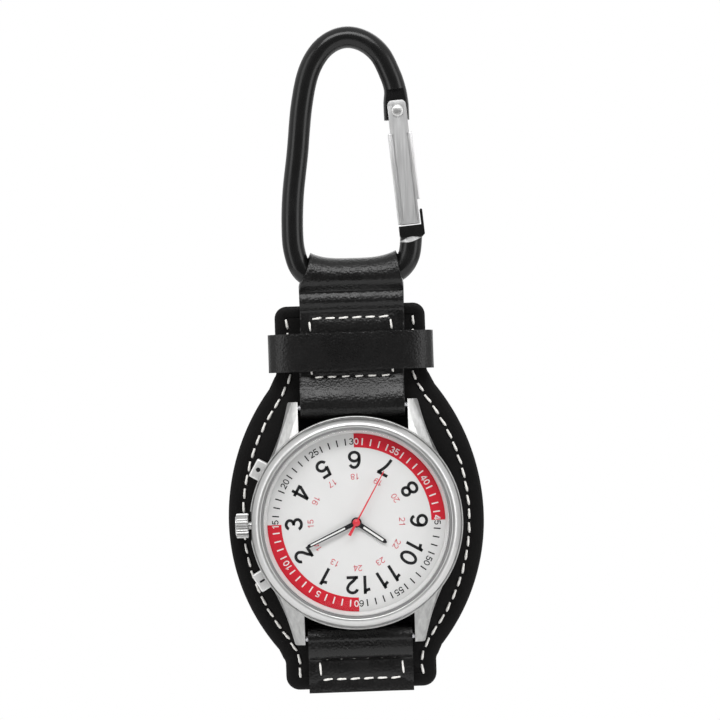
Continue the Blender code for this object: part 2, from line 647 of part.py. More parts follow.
def make_pusher(name, turn):
    """A square pusher in its pocket, with a stem, return spring and retaining clip.

    The upper one has a dimple in its front, the lower one a slot."""
    side, deep, tall = SIDE[turn], PUSHER_SIZE[0] / 2, PUSHER_SIZE[1] / 2
    cap = box(name, (PUSHER_INNER, -deep, -tall), (PUSHER_OUTER, deep, tall), side, STEM)
    cap = bevelled(cap, 0.22, 2)
    profile = [(0, 18.9), (0.78, 18.9), (0.78, 16.3), (0.55, 16.3), (0.55, 15.9), (0.78, 15.9),
               (0.78, 15.5), (0, 15.5)]
    cap = join(cap, turned(name + "_stem", profile, "X", SMALL_STEPS, side, STEM))
    floor = 0.3 - deep
    if turn > 0:
        place = (20.3, STEM_Y, 0)
        mark = rod(name + "_dimple", 0.37, -5, floor, "Y", SMALL_STEPS, side, place)
    else:
        mark = box(name + "_slot", (19.5, -5, -0.14), (20.5, floor, 0.14), side, STEM)
    paint(cut(cap, mark), "polished_steel")
    clip = [(1.3, 15.95), (1.3, 16.25), (0.62, 16.25), (0.62, 15.95)]
    paint(turned(name + "_clip", clip, "X", 20, side, STEM), "spring_steel")
    spring = coil(name + "_spring", 1.12, 0.1, 2, POCKET_FLOOR + 0.12, PUSHER_INNER - 0.12, side,
                  STEM, ALONG_X)
    paint(spring, "spring_steel")


def make_spring_bar(watch, end_name, end):
    """A spring bar: its tube, a sliding tip at each end and the spring between them."""
    place, half, bore = (0, BAR_Y, end * BAR_SPREAD), BAR_TUBE_HALF, 0.6
    tube = [(BAR_TUBE_R, -half), (BAR_TUBE_R, half), (bore, half), (bore, -half)]
    tube = turned(f"{end_name}_bar_tube", tube, "X", SMALL_STEPS, watch, place)
    paint(tube, "spring_steel")
    for side_name, side in (("left", -1), ("right", 1)):
        profile = [(0, 7.4), (0.52, 7.4), (0.52, 9.85), (0.4, 9.85), (0.4, BAR_TIP_END),
                   (0, BAR_TIP_END)]
        tip = turned(f"{end_name}_bar_tip_{side_name}", [(r, side * x) for r, x in profile], "X",
                     SMALL_STEPS, watch, place)
        paint(tip, "spring_steel")
    spring = coil(f"{end_name}_bar_spring", 0.38, 0.1, 5, -6.2, 6.2, watch, place, ALONG_X, 6)
    paint(spring, "spring_steel")


# ---------------------------------------------------------------- dial and hands

def pointing(turn, r, across=0):
    """(x, z) at r along a hand that is turned clockwise from twelve, which points down."""
    return (-r * math.sin(turn) - across * math.cos(turn),
            -r * math.cos(turn) + across * math.sin(turn))


def hand_outline(turn, tail, tip, hub, root, end):
    """A hub with a straight hand; root and end are half widths along it."""
    start = math.sqrt(hub * hub - root * root)
    outline = [pointing(turn, start, root), pointing(turn, tip - end, end), pointing(turn, tip, 0),
               pointing(turn, tip - end, -end), pointing(turn, start, -root)]
    opening = math.degrees(math.asin(root / hub))
    for i in range(1, 14):
        angle = math.radians(-opening - (360 - 2 * opening) * i / 14)
        outline.append(pointing(turn, hub * math.cos(angle), hub * math.sin(angle)))
    if tail:
        outline[5:] = (outline[5:10]
                       + [pointing(turn, -hub, -0.42), pointing(turn, -tail, -0.5),
                          pointing(turn, -tail, 0.5), pointing(turn, -hub, 0.42)]
                       + outline[13:])
    return outline


def make_dial(watch):
    face = [(0.95, DIAL_FRONT), (DIAL_R, DIAL_FRONT), (DIAL_R, DIAL_REAR), (0.95, DIAL_REAR)]
    paint(turned("dial", face, "Y", CIRCLE_STEPS, watch), "dial_white")


def make_tubed_hand(watch, name, outline, front, tube, tube_end):
    """A flat hand on a tube that reaches back through the dial; tube is (outer, inner) radii."""
    outer, inner = tube
    blade = plate(name, outline, front, front + HAND, "Y", watch)
    ring = [(outer, front + 0.05), (outer, tube_end), (inner, tube_end), (inner, front + 0.05)]
    blade = join(blade, turned(name + "_tube", ring, "Y", 20, watch))
    paint(cut(blade, rod(name + "_hole", inner, -9, 9, "Y", 20, watch)), "hand_black")


def make_hands(watch):
    """Three hands on three nested tubes that reach the movement through the dial."""
    hour = hand_outline(HOUR_TURN, 0, 6.6, 0.95, 0.42, 0.4)
    make_tubed_hand(watch, "hour_hand", hour, HOUR_FRONT, HOUR_TUBE, -3.5)
    minute = hand_outline(MINUTE_TURN, 0, 10.0, 0.9, 0.38, 0.32)
    make_tubed_hand(watch, "minute_hand", minute, MINUTE_FRONT, MINUTE_TUBE, -2.2)
    outline = hand_outline(SECOND_TURN, 2.65, 10.6, 0.68, 0.13, 0.1)
    second = plate("second_hand", outline, SECOND_FRONT, SECOND_FRONT + HAND, "Y", watch)
    tip, root = SECOND_FRONT - 0.15, -1.15
    pin = [(0, tip), (SECOND_PIN - 0.05, tip), (SECOND_PIN, root), (0, root)]
    paint(join(second, turned("second_pin", pin, "Y", SMALL_STEPS, watch)), "hand_red")


# ---------------------------------------------------------------- movement

def gear_outline(radius, teeth, depth=0.22):
    points = []
    for i in range(teeth):
        for step, r in ((0, radius - depth), (0.5, radius)):
            angle = 2 * math.pi * (i + step) / teeth
            points.append((r * math.cos(angle), r * math.sin(angle)))
    return points


def make_wheel(watch, name, centre, radius, teeth, low, high, arbor=None, bore=0,
               colour="brass"):
    """A toothed wheel about Y; arbor is (radius, low, high) and bore is a hole's radius."""
    holes = [circle((0, 0), bore, 14)] if bore else ()
    place = (centre[0], 0, centre[1])
    wheel = plate(name, gear_outline(radius, teeth), low, high, "Y", watch, place, holes=holes)
    if arbor:
        shaft = rod(name + "_arbor", arbor[0], arbor[1], arbor[2], "Y", 12, watch, place)
        wheel = join(wheel, shaft)
    return paint(wheel, colour)


def make_train(watch):
    """The gear train in the movement, behind the main plate; each wheel's centre is (x, z)."""
    make_wheel(watch, "second_wheel", (0, 0), 2.6, 30, -1.75, -1.5, bore=0.42)
    make_wheel(watch, "centre_wheel", (0, 0), 3.4, 36, -2.55, -2.25, bore=0.66)
    make_wheel(watch, "third_wheel", THIRD, 2.7, 30, -2.05, -1.85, (0.35, -3.0, -1.1))
    make_wheel(watch, "intermediate_wheel", INTERMEDIATE, 1.5, 20, -1.75, -1.5,
               (0.3, -3.0, -1.1))
    make_wheel(watch, "rotor", ROTOR, 0.8, 10, -2.6, -1.9, (0.22, -3.0, -1.1),
               colour="spring_steel")
    make_wheel(watch, "hour_wheel", (0, 0), 2.4, 28, -3.45, -3.25, bore=0.92)
    make_wheel(watch, "minute_wheel", MINUTE_WHEEL, 1.7, 20, -3.45, -3.25, (0.3, -3.55, -2.7))


def pivot_holes(centre_bore):
    """The holes that a plate has for the arbors, round the centre one."""
    return [circle((0, 0), centre_bore, 14), circle(THIRD, 0.45, 10),
            circle(INTERMEDIATE, 0.4, 10), circle(ROTOR, 0.35, 10)]


def make_movement_ring(watch):
    """The plastic ring round the movement, with openings for the stem and the pushers."""
    section = [(16.55, -3.8), (16.55, 0.2), (13.9, 0.2), (13.9, -3.8)]
    ring = turned("movement_ring", section, "Y", HIDDEN_STEPS, watch)
    slots = [box("ring_stem_slot", (10, -1.0, -1.0), (20, 1.0, 1.0), SIDE[0], STEM)]
    for turn in (-1, 1):
        slots.append(box(f"ring_slot_{turn}", (14.5, -1.5, -1.5), (20, 4, 1.5), SIDE[turn], STEM))
    paint(cut(ring, *slots), "white_plastic")


def make_plates(watch):
    """The main plate in front of the train and the bridge behind it."""
    holes = [*pivot_holes(0.75), circle(MINUTE_WHEEL, 0.45, 10)]
    main = plate("main_plate", circle((0, 0), PLATE_R, HIDDEN_STEPS), PLATE_FRONT, PLATE_REAR, "Y",
                 watch, holes=holes)
    stem_room = box("plate_stem_room", (10.6, -1.0, -1.4), (20, 1.0, 1.4), SIDE[0], STEM)
    paint(cut(main, stem_room), "brass")
    outline = arc((0, 0), 12.5, 88, 145, 6)
    outline += [(-6.4, 2.4), (-3.0, -1.6), (2.2, -1.6), (7.0, 1.4), (7.4, 4.4), (3.0, 5.6)]
    bridge = plate("train_bridge", outline, -1.35, -0.95, "Y", watch, holes=pivot_holes(0.45))
    paint(bridge, "brass")


def make_battery(watch):
    """The button cell and the strap that clamps it."""
    cell = [(0, -2.6), (4.5, -2.6), (4.75, -2.4), (4.75, -0.75), (4.55, -0.55), (0, -0.55)]
    cell = turned("battery_cell", cell, "Y", HIDDEN_STEPS, watch, (4.6, 0, -7.2))
    paint(cell, "spring_steel")
    clamp = [(-0.4, -6.6), (9.4, -6.6), (9.4, -5.9), (-0.4, -5.9)]
    paint(plate("battery_clamp", clamp, -0.25, 0.0, "Y", watch), "spring_steel")


def make_motor(watch):
    """The stepper's winding, and the stator that carries its field round the rotor."""
    winding = [(0, -4.6), (0.9, -4.6), (0.9, -4.3), (0.6, -4.3), (1.0, -4.0), (1.0, 4.0),
               (0.6, 4.3), (0.9, 4.3), (0.9, 4.6), (0, 4.6)]
    winding = turned("stepper_coil", winding, "X", SMALL_STEPS, watch, (8.4, -1.65, 7.9),
                     (0, math.radians(40), 0))
    paint(winding, "copper")
    outline = [(4.2, 1.9), (7.4, 1.0), (11.2, 3.2), (10.4, 4.2), (7.9, 3.6), (6.0, 5.2), (4.8, 5.0)]
    stator = plate("stator", outline, -2.45, -2.1, "Y", watch, holes=[circle(ROTOR, 1.05, 16)])
    paint(stator, "spring_steel")


def make_circuit(watch):
    """The circuit board and the quartz crystal in its can."""
    outline = [(-12.0, -4.6), (-2.6, -4.6), (-1.2, -12.2), (-5.5, -11.9), (-9.6, -8.9)]
    paint(plate("circuit_board", outline, -0.6, -0.3, "Y", watch), "green_board")
    can = [(0, -3.0), (0.75, -3.0), (0.85, -2.8), (0.85, 3.0), (0, 3.0)]
    can = turned("quartz_can", can, "X", SMALL_STEPS, watch, (-6.0, -1.75, -8.0),
                 (0, math.radians(30), 0))
    paint(can, "polished_steel")


# ---------------------------------------------------------------- assembly

clear_scene()
PARTS = new_collection("fob_watch")
CUTTERS = new_collection("cutters")
WATCH = empty("watch_centre", place=(0, 0, -HANG_DROP))
GATE_FRAME = empty("gate_axis", WATCH, (HINGE[0], 0, HINGE[1]), (0, -GATE_TILT, 0))
SIDE = {way: empty(f"side_{way + 1}", WATCH, turn=(0, math.pi + way * PUSHER_TURN, 0))
        for way in (-1, 0, 1)}
STEM = (0, STEM_Y, 0)                 # where the crown's and pushers' axes cross the watch's
ALONG_X = (0, math.pi / 2, 0)         # turns a coil from Z to X

make_hook_body(WATCH)
make_gate()
make_gate_fittings()
make_pad(WATCH)
make_upper_strap(WATCH)
make_lower_strap(WATCH)
make_keeper(WATCH)
make_case_middle(WATCH)
make_case_rings(WATCH)
make_crown()
make_pusher("upper_pusher", 1)
make_pusher("lower_pusher", -1)
make_spring_bar(WATCH, "upper", 1)
make_spring_bar(WATCH, "lower", -1)
make_dial(WATCH)
make_hands(WATCH)
make_train(WATCH)
make_movement_ring(WATCH)
make_plates(WATCH)
make_battery(WATCH)
make_motor(WATCH)
make_circuit(WATCH)
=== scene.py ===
"""The looks of the fob watch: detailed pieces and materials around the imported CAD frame.

Lengths in the shape code are millimetres from the watch's centre (x right, y back, z up). The
shape tools turn them into metres, and piece() moves each finished shape into the row frame."""

import json
import math

import bmesh
import bpy
from mathutils import Matrix, Vector, noise


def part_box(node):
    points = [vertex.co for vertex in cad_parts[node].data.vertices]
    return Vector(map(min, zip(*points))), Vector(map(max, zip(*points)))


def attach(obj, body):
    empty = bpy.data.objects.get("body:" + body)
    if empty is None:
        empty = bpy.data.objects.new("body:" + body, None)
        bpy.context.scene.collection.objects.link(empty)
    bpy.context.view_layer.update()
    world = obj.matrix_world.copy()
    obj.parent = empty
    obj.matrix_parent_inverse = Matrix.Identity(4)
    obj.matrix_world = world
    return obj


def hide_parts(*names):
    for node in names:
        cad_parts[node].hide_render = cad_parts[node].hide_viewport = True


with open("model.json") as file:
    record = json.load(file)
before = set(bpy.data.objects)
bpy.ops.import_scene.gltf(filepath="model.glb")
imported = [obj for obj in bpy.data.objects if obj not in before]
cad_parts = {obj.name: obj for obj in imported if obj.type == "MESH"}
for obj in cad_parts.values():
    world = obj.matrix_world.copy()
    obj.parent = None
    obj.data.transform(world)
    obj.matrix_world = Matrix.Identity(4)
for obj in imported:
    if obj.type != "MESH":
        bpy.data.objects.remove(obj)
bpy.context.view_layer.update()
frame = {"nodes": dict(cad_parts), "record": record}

MM = 0.001
NODES = frame["nodes"]


def node_box(name):
    """A CAD node's corners in millimetres of the row frame."""
    low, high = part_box(name)
    return low / MM, high / MM


# ---------- sizes taken from the frame

BEZEL_LOW, BEZEL_HIGH = node_box("bezel")
CENTRE = Vector((0, 0, (BEZEL_LOW.z + BEZEL_HIGH.z) / 2))


def local_box(name):
    low, high = node_box(name)
    return low - CENTRE, high - CENTRE


CASE_LOW, CASE_HIGH = local_box("case_middle")
PAD_LOW, PAD_HIGH = local_box("pad_face")
LINING_BACK = local_box("pad_lining")[1].y
LOWER_STRAP_LOW = local_box("lower_strap")[0]
KEEPER_LOW, KEEPER_HIGH = local_box("keeper_band")
CRYSTAL_LOW, CRYSTAL_HIGH = local_box("crystal")
DIAL_LOW, DIAL_HIGH = local_box("dial")
REHAUT_LOW, REHAUT_HIGH = local_box("rehaut_ring")
CROWN_LOW, CROWN_HIGH = local_box("crown")
BAR_LOW, BAR_HIGH = local_box("upper_bar_tube")
RIVET_LOW, RIVET_HIGH = local_box("gate_rivet")
HOUR_LOW, MINUTE_LOW, SECOND_LOW = (local_box(name + "_hand")[0] for name in ("hour", "minute", "second"))

BEZEL_R = BEZEL_HIGH.x
BEZEL_FRONT = BEZEL_LOW.y
CASE_R = CASE_HIGH.x
CASE_FRONT, CASE_REAR = CASE_LOW.y, CASE_HIGH.y
CASE_IN = CASE_R - 2.46
LUG_TIP = CASE_HIGH.z
CRYSTAL_R = CRYSTAL_HIGH.x
DIAL_R, DIAL_FRONT = DIAL_HIGH.x, DIAL_LOW.y
DIAL_SEEN = 16.2
BAR_Y = (BAR_LOW.y + BAR_HIGH.y) / 2
BAR_SPREAD = (BAR_LOW.z + BAR_HIGH.z) / 2
STEM_Y = (CROWN_LOW.y + CROWN_HIGH.y) / 2
HINGE = Vector(((RIVET_LOW.x + RIVET_HIGH.x) / 2, 0, (RIVET_LOW.z + RIVET_HIGH.z) / 2))
PAD_FRONT, PAD_SPLIT = PAD_LOW.y, PAD_HIGH.y
PAD_TOP, PAD_BOTTOM = PAD_HIGH.z, PAD_LOW.z
BULGE_HALF = PAD_HIGH.x
STRAP_HALF = 9.5
LEATHER = 1.2
KEEPER_LEATHER = 1.1
HOOK_WIRE = 2.0
HOOK_BAR_Z = 44.6
GATE_TILT = math.radians(4.83)
GATE_LENGTH = 20.7
CHEEK_HALF, CHEEK_OUT, CHEEK_IN, TAB_HALF, WING_HALF = 1.7, 2.1, 1.55, 1.4, 2.2
PUSHER_TURN = math.radians(30)
PUSHER_INNER, PUSHER_OUTER = 18.65, 21.25
PUSHER_SIZE = (2.7, 3.6)
POCKET_FLOOR = 17.9
HOUR_TURN, MINUTE_TURN, SECOND_TURN = (math.radians(a) for a in (305.4, 65.3, 210.0))
ROUND = 192               # steps of the large turned pieces


# ---------- camera and light

def linked(name, data):
    """A new object in the scene."""
    obj = bpy.data.objects.new(name, data)
    bpy.context.scene.collection.objects.link(obj)
    return obj


def make_camera():
    """In front of the watch, with the whole object in view and leaning a little."""
    lens, sensor, view_width, lean = 200, 36, 0.1309, math.radians(1.9)
    data = bpy.data.cameras.new("camera")
    data.lens, data.sensor_width = lens, sensor
    data.clip_start, data.clip_end = 0.01, 10
    camera = linked("camera", data)
    middle = (CENTRE + Vector((1.63, 0, 29.4))) * MM
    middle.y = -0.002 - view_width * lens / sensor
    axes = Matrix(((math.cos(lean), math.sin(lean), 0), (0, 0, -1),
                   (-math.sin(lean), math.cos(lean), 0))).to_4x4()
    camera.matrix_world = Matrix.Translation(middle) @ axes
    bpy.context.scene.camera = camera


LIGHT_AIM = Vector((0, 0, -0.06))


def softbox(name, place, size, power):
    data = bpy.data.lights.new(name, "AREA")
    data.shape = "RECTANGLE"
    data.size, data.size_y = size
    data.energy = power
    light = linked(name, data)
    light.location = place
    light.rotation_euler = (LIGHT_AIM - Vector(place)).to_track_quat("-Z", "Y").to_euler()


SKY = ((-1.0, 0.35), (-0.35, 0.5), (0.0, 0.7), (0.25, 0.85), (0.7, 0.95), (1.0, 0.95))
FRONT = ((-1.0, 0.18), (-0.92, 0.22), (-0.75, 0.5), (-0.5, 0.95), (1.0, 1.0))


LIGHTS = (("top_light", (0.0, -0.55, 0.5), (0.7, 0.3), 4.7),        # place, size and power
          ("left_light", (-0.6, -0.4, 0.05), (0.3, 0.8), 1.4),
          ("right_light", (0.6, -0.36, -0.05), (0.3, 0.8), 1.7),
          ("back_light", (0.1, 0.5, 0.2), (0.5, 0.5), 1.0))


def add_node(tree, kind, inputs, **settings):
    """A shader node with its settings, and its inputs linked or set."""
    made = tree.nodes.new("ShaderNode" + kind)
    for key, value in settings.items():
        setattr(made, key, value)
    for key, value in inputs.items():
        if isinstance(value, bpy.types.NodeSocket):
            tree.links.new(value, made.inputs[key])
        else:
            made.inputs[key].default_value = value
    return made


def world_ramp(tree, value, stops):
    """A grey that follows one direction, -1 to 1, through (direction, grey) stops."""
    spread = add_node(tree, "MapRange", {"Value": value, "From Min": -1}).outputs["Result"]
    ramp = add_node(tree, "ValToRGB", {"Fac": spread})
    colours = ramp.color_ramp.elements
    for _ in stops[2:]:
        colours.new(0.5)
    for element, (place, grey) in zip(colours, stops):
        element.position = (place + 1) / 2
        element.color = (grey, grey, grey, 1)
    return ramp.outputs["Color"]


def make_studio():
    """Soft boxes, a white surround that reflects darker straight in front, and a pale floor."""
    for light in LIGHTS:
        softbox(*light)
    world = bpy.data.worlds.new("studio")
    bpy.context.scene.world = world
    world.use_nodes = True
    tree = world.node_tree
    direction = add_node(tree, "TexCoord", {}).outputs["Generated"]
    split = add_node(tree, "SeparateXYZ", {"Vector": direction}).outputs
    ramps = {"A": world_ramp(tree, split["Z"], SKY), "B": world_ramp(tree, split["Y"], FRONT)}
    both = add_node(tree, "Mix", {"Factor": 1, **ramps}, data_type="RGBA", blend_type="MULTIPLY")
    seen = add_node(tree, "LightPath", {}).outputs["Is Camera Ray"]
    pick = add_node(tree, "Mix", {"Factor": seen, "A": both.outputs["Result"], "B": (1, 1, 1, 1)},
                    data_type="RGBA")
    tree.links.new(pick.outputs["Result"], tree.nodes["Background"].inputs["Color"])
    bpy.context.scene.view_settings.view_transform = "Standard"
    bm = bmesh.new()
    bmesh.ops.create_circle(bm, cap_ends=True, segments=96, radius=0.48)
    floor = add_mesh("floor", bm)
    floor.location = (0, 0, -0.23)
    floor.data.materials.append(floor_material())


# ---------- material tools

class Paint:
    """A Principled material and short ways to add texture nodes to it."""

    def __init__(self, name, colour, roughness, metallic=0.0, **sockets):
        self.material = bpy.data.materials.new(name)
        self.material.use_nodes = True
        self.tree = self.material.node_tree
        self.shader = self.tree.nodes["Principled BSDF"]
        self.set("Base Color", (*colour, 1))
        self.set("Roughness", roughness)
        self.set("Metallic", metallic)
        for socket, value in sockets.items():
            self.set(socket.replace("_", " "), value)
        self.where = self.tree.nodes.new("ShaderNodeTexCoord").outputs["Object"]

    def set(self, socket, value):
        self.shader.inputs[socket].default_value = value

    def node(self, kind, inputs, **settings):
        return add_node(self.tree, kind, inputs, **settings)

    def stretched(self, x, y, z):
        return self.node("Mapping", {"Vector": self.where, "Scale": (x, y, z)}).outputs["Vector"]

    def noise(self, size, detail=3, where=None):
        """Noise whose lumps are about size millimetres across, from 0 to 1."""
        return self.node("TexNoise", {"Vector": where or self.where, "Scale": 1 / (size * MM),
                                      "Detail": detail, "Roughness": 0.55}).outputs["Fac"]

    def cells(self, size):
        """Distance from the middles of rounded cells about size millimetres across."""
        made = self.node("TexVoronoi", {"Vector": self.where, "Scale": 1 / (size * MM)}, feature="SMOOTH_F1")
        made.inputs["Smoothness"].default_value = 0.5
        return made.outputs["Distance"]

    def span(self, value, low, high, to_low=0.0, to_high=1.0):
        return self.node("MapRange", {"Value": value, "From Min": low, "From Max": high,
                                      "To Min": to_low, "To Max": to_high}).outputs["Result"]

    def maths(self, operation, a, b=0.0):
        return self.node("Math", {0: a, 1: b}, operation=operation).outputs["Value"]

    def blend(self, factor, low, high):
        made = self.node("Mix", {"Factor": factor, "A": (*low, 1), "B": (*high, 1)}, data_type="RGBA")
        return made.outputs["Result"]

    def into(self, socket, value):
        self.tree.links.new(value, self.shader.inputs[socket])
        return self

    def bump(self, height, depth):
        """Bump whose full height is depth millimetres."""
        made = self.node("Bump", {"Height": height, "Distance": depth * MM, "Strength": 1.0})
        return self.into("Normal", made.outputs["Normal"])


def leather(name, colour, lighter, grain, depth, rough, specular):
    """Pebbled hide: rounded cells, fine pores, and slow changes of colour and gloss."""
    paint = Paint(name, colour, rough, Specular_IOR_Level=specular)
    pebbles = paint.span(paint.cells(grain), 0.0, 0.75, 1.0, 0.0)
    pores = paint.noise(grain * 0.35, 4)
    patches = paint.noise(9, 3)
    paint.bump(paint.maths("ADD", pebbles, paint.maths("MULTIPLY", pores, 0.45)), depth)
    tone = paint.maths("MULTIPLY", paint.span(patches, 0.3, 0.7), paint.span(pebbles, 0.2, 0.9, 0.4, 1.0))
    paint.into("Base Color", paint.blend(tone, colour, lighter))
    gloss = paint.maths("ADD", paint.span(patches, 0.3, 0.7, rough - 0.05, rough + 0.05),
                        paint.span(pores, 0.3, 0.7, -0.05, 0.06))
    return paint.into("Roughness", gloss).material


def metal(name, colour, rough, grain=(1, 1, 1), size=0.35, depth=0.002, streak=0.08, mottle=0.14):
    """Metal with polishing or brushing lines along the smallest component of grain."""
    paint = Paint(name, colour, rough, 1.0)
    lines = paint.noise(size, 4, paint.stretched(*grain))
    clouds = paint.noise(5, 2)
    brushed = paint.span(lines, 0.3, 0.7, rough - streak / 2, rough + streak)
    paint.into("Roughness", paint.maths("ADD", brushed, paint.span(clouds, 0.3, 0.7, -0.02, 0.02)))
    darker = tuple(c * (1 - mottle) for c in colour)
    paint.into("Base Color", paint.blend(paint.span(lines, 0.3, 0.75), darker, colour))
    return paint.bump(lines, depth).material


def lacquer(name, colour, rough, speck=0.12, **sockets):
    """Paint or plastic: a slight mottle, fine orange peel and small changes of gloss."""
    paint = Paint(name, colour, rough, **sockets)
    peel = paint.noise(0.3, 3)
    clouds = paint.noise(4, 3)
    darker = tuple(c * (1 - speck) for c in colour)
    paint.into("Base Color", paint.blend(paint.span(clouds, 0.3, 0.7), darker, colour))
    paint.into("Roughness", paint.span(peel, 0.25, 0.75, rough * 0.85, rough * 1.15))
    return paint.bump(peel, 0.003).material


def hook_material():
    """Black anodised wire: satin, with brighter metal where the nose's lower edge has worn."""
    black, bare, rough = (0.006, 0.006, 0.006), (0.6, 0.6, 0.6), 0.2
    worn_x, worn_half, worn_tall, worn_slope = 11.5, 2.3, 0.5, 0.18
    paint = Paint("hook_black", black, rough, 0.0, Specular_IOR_Level=0.3)
    fine = paint.noise(0.25, 4)
    patches = paint.noise(3.5, 3)
    split = paint.node("SeparateXYZ", {"Vector": paint.where})
    across = paint.maths("SUBTRACT", split.outputs["X"], worn_x * MM)
    height = (CENTRE.z + HINGE.z - GATE_LENGTH - 2.8) * MM
    above = paint.maths("SUBTRACT", split.outputs["Z"], height)
    rise = paint.maths("MULTIPLY", across, worn_slope)
    near = paint.maths("ABSOLUTE", paint.maths("SUBTRACT", above, rise))
    edge = paint.span(paint.maths("ABSOLUTE", across), 0.4 * MM, worn_half * MM, worn_tall * MM, 0.0)
    worn = paint.span(paint.maths("SUBTRACT", edge, near), 0.0, 0.12 * MM)
    worn = paint.maths("MULTIPLY", worn, paint.span(fine, 0.2, 0.45))
    paint.into("Base Color", paint.blend(worn, black, bare))
    paint.into("Metallic", worn)
    satin = paint.span(patches, 0.3, 0.7, rough - 0.05, rough + 0.08)
    paint.into("Roughness", paint.maths("ADD", satin, paint.maths("MULTIPLY", worn, 0.35)))
    return paint.bump(fine, 0.004).material


def glass_material():
    """A flat crystal: clear, with only its own gloss showing."""
    paint = Paint("crystal_glass", (1, 1, 1), 0.02, 1.0)
    edge = paint.node("Fresnel", {"IOR": 1.5}).outputs["Fac"]
    smear = paint.noise(6, 3)
    paint.into("Roughness", paint.span(smear, 0.3, 0.8, 0.01, 0.04))
    gloss = paint.span(edge, 0.03, 1.0, 0.004, 0.7)
    front = paint.maths("SUBTRACT", 1.0, paint.node("NewGeometry", {}).outputs["Backfacing"])
    return paint.into("Alpha", paint.maths("MULTIPLY", gloss, front)).material


def thread_material():
    paint = Paint("thread", (0.72, 0.7, 0.66), 0.75, Sheen_Weight=0.3)
    twist = paint.noise(0.09, 3, paint.stretched(1.0, 1.0, 0.6))
    strand = paint.span(twist, 0.35, 0.65)
    paint.into("Base Color", paint.blend(strand, (0.62, 0.6, 0.57), (0.9, 0.89, 0.86)))
    return paint.bump(twist, 0.05).material


def floor_material():
    paint = Paint("floor_paper", (0.86, 0.86, 0.86), 0.85)
    return paint.bump(paint.noise(3, 3), 0.05).material


# ---------- shape tools

def add_mesh(name, bm):
    mesh = bpy.data.meshes.new(name)
    bm.to_mesh(mesh)
    bm.free()
    return linked(name, mesh)


def smoothed(obj, angle=35):
    """Applies what is on the object, welds it, and shades it smooth but for its sharp edges."""
    bpy.context.view_layer.update()
    graph = bpy.context.evaluated_depsgraph_get()
    mesh = bpy.data.meshes.new_from_object(obj.evaluated_get(graph), depsgraph=graph)
    bm = bmesh.new()
    bm.from_mesh(mesh)
    bmesh.ops.remove_doubles(bm, verts=bm.verts, dist=1e-7)
    bmesh.ops.recalc_face_normals(bm, faces=bm.faces)
    bm.to_mesh(mesh)
    bm.free()
    mesh.materials.clear()
    mesh.shade_smooth()
    mesh.set_sharp_from_angle(angle=math.radians(angle))
    made = obj
    if obj.type == "MESH":
        obj.modifiers.clear()
        obj.data = mesh
    else:
        name, matrix = obj.name, obj.matrix_world.copy()
        bpy.data.objects.remove(obj, do_unlink=True)
        made = linked(name, mesh)
        made.matrix_world = matrix
    return made


def shift(obj, place=(0, 0, 0), turn=None):
    """Moves a shape's points, in millimetres, after turning them."""
    move = Matrix.Translation(Vector(place) * MM)
    obj.data.transform(move @ (turn.to_4x4() if turn else Matrix.Identity(4)))
    return obj


TURNS = {"X": Matrix.Rotation(math.pi / 2, 4, "Y"), "Y": Matrix.Rotation(-math.pi / 2, 4, "X")}


def turned(name, profile, axis="Y", steps=ROUND, angle=35):
    """Turns a profile of (radius, distance along the axis) points."""
    points = list(profile)
    ring = zip(points, points[1:] + points[:1])
    if sum(a[0] * b[1] - b[0] * a[1] for a, b in ring) > 0:
        points.reverse()
    solid = points[0][0] == 0 and points[-1][0] == 0
    mesh = bpy.data.meshes.new(name)
    edges = [(i, i + 1) for i in range(len(points) - 1)] + ([] if solid else [(len(points) - 1, 0)])
    mesh.from_pydata([(r * MM, 0, h * MM) for r, h in points], edges, [])
    obj = linked(name, mesh)
    screw = obj.modifiers.new("Turn", "SCREW")
    screw.steps = screw.render_steps = steps
    screw.use_merge_vertices = True
    screw.merge_threshold = 1e-7
    obj = smoothed(obj, angle)
    obj.data.transform(TURNS[axis])
    return obj


def rod(name, radius, low, high, axis="Y", steps=ROUND):
    return turned(name, [(0, low), (radius, low), (radius, high), (0, high)], axis, steps)


def curved(name, routes, closed, **settings):
    """A mesh made from a curve through routes of (x, y, z, scale) points."""
    curve = bpy.data.curves.new(name, "CURVE")
    for key, value in settings.items():
        setattr(curve, key, value)
    for route in routes:
        spline = curve.splines.new("POLY")
        spline.points.add(len(route) - 1)
        for point, (x, y, z, scale) in zip(spline.points, route):
            point.co = (x * MM, y * MM, z * MM, 1)
            point.radius = scale
        spline.use_cyclic_u = closed
    return smoothed(linked(name, curve))


def pipe(name, route, radius, sides):
    """A round wire along (x, y, z, scale) points."""
    return curved(name, [route], False, dimensions="3D", bevel_depth=radius * MM,
                  bevel_resolution=(sides - 4) // 2, use_fill_caps=True)


AXES = {"Y": Matrix(((1, 0, 0, 0), (0, 0, 1, 0), (0, 1, 0, 0), (0, 0, 0, 1))),
        "X": Matrix(((0, 0, 1, 0), (1, 0, 0, 0), (0, 1, 0, 0), (0, 0, 0, 1)))}


def plate(name, outline, low, high, holes=(), axis="Y"):
    """A flat outline extruded between two distances: (x, z) points along Y, or (y, z) along X."""
    routes = [[(a, b, 0, 1) for a, b in loop] for loop in (outline, *holes)]
    obj = curved(name, routes, True, dimensions="2D", fill_mode="BOTH", extrude=(high - low) / 2 * MM)
    obj.data.transform(Matrix.Translation((0, 0, (low + high) / 2 * MM)))
    obj.data.transform(AXES[axis])
    if axis == "Y":
        obj.data.flip_normals()
    return obj


def block(name, low, high):
    low, high = Vector(low) * MM, Vector(high) * MM
    bm = bmesh.new()
    bmesh.ops.create_cube(bm, size=1)
    bmesh.ops.scale(bm, vec=high - low, verts=bm.verts)
    bmesh.ops.translate(bm, vec=(low + high) / 2, verts=bm.verts)
    return add_mesh(name, bm)


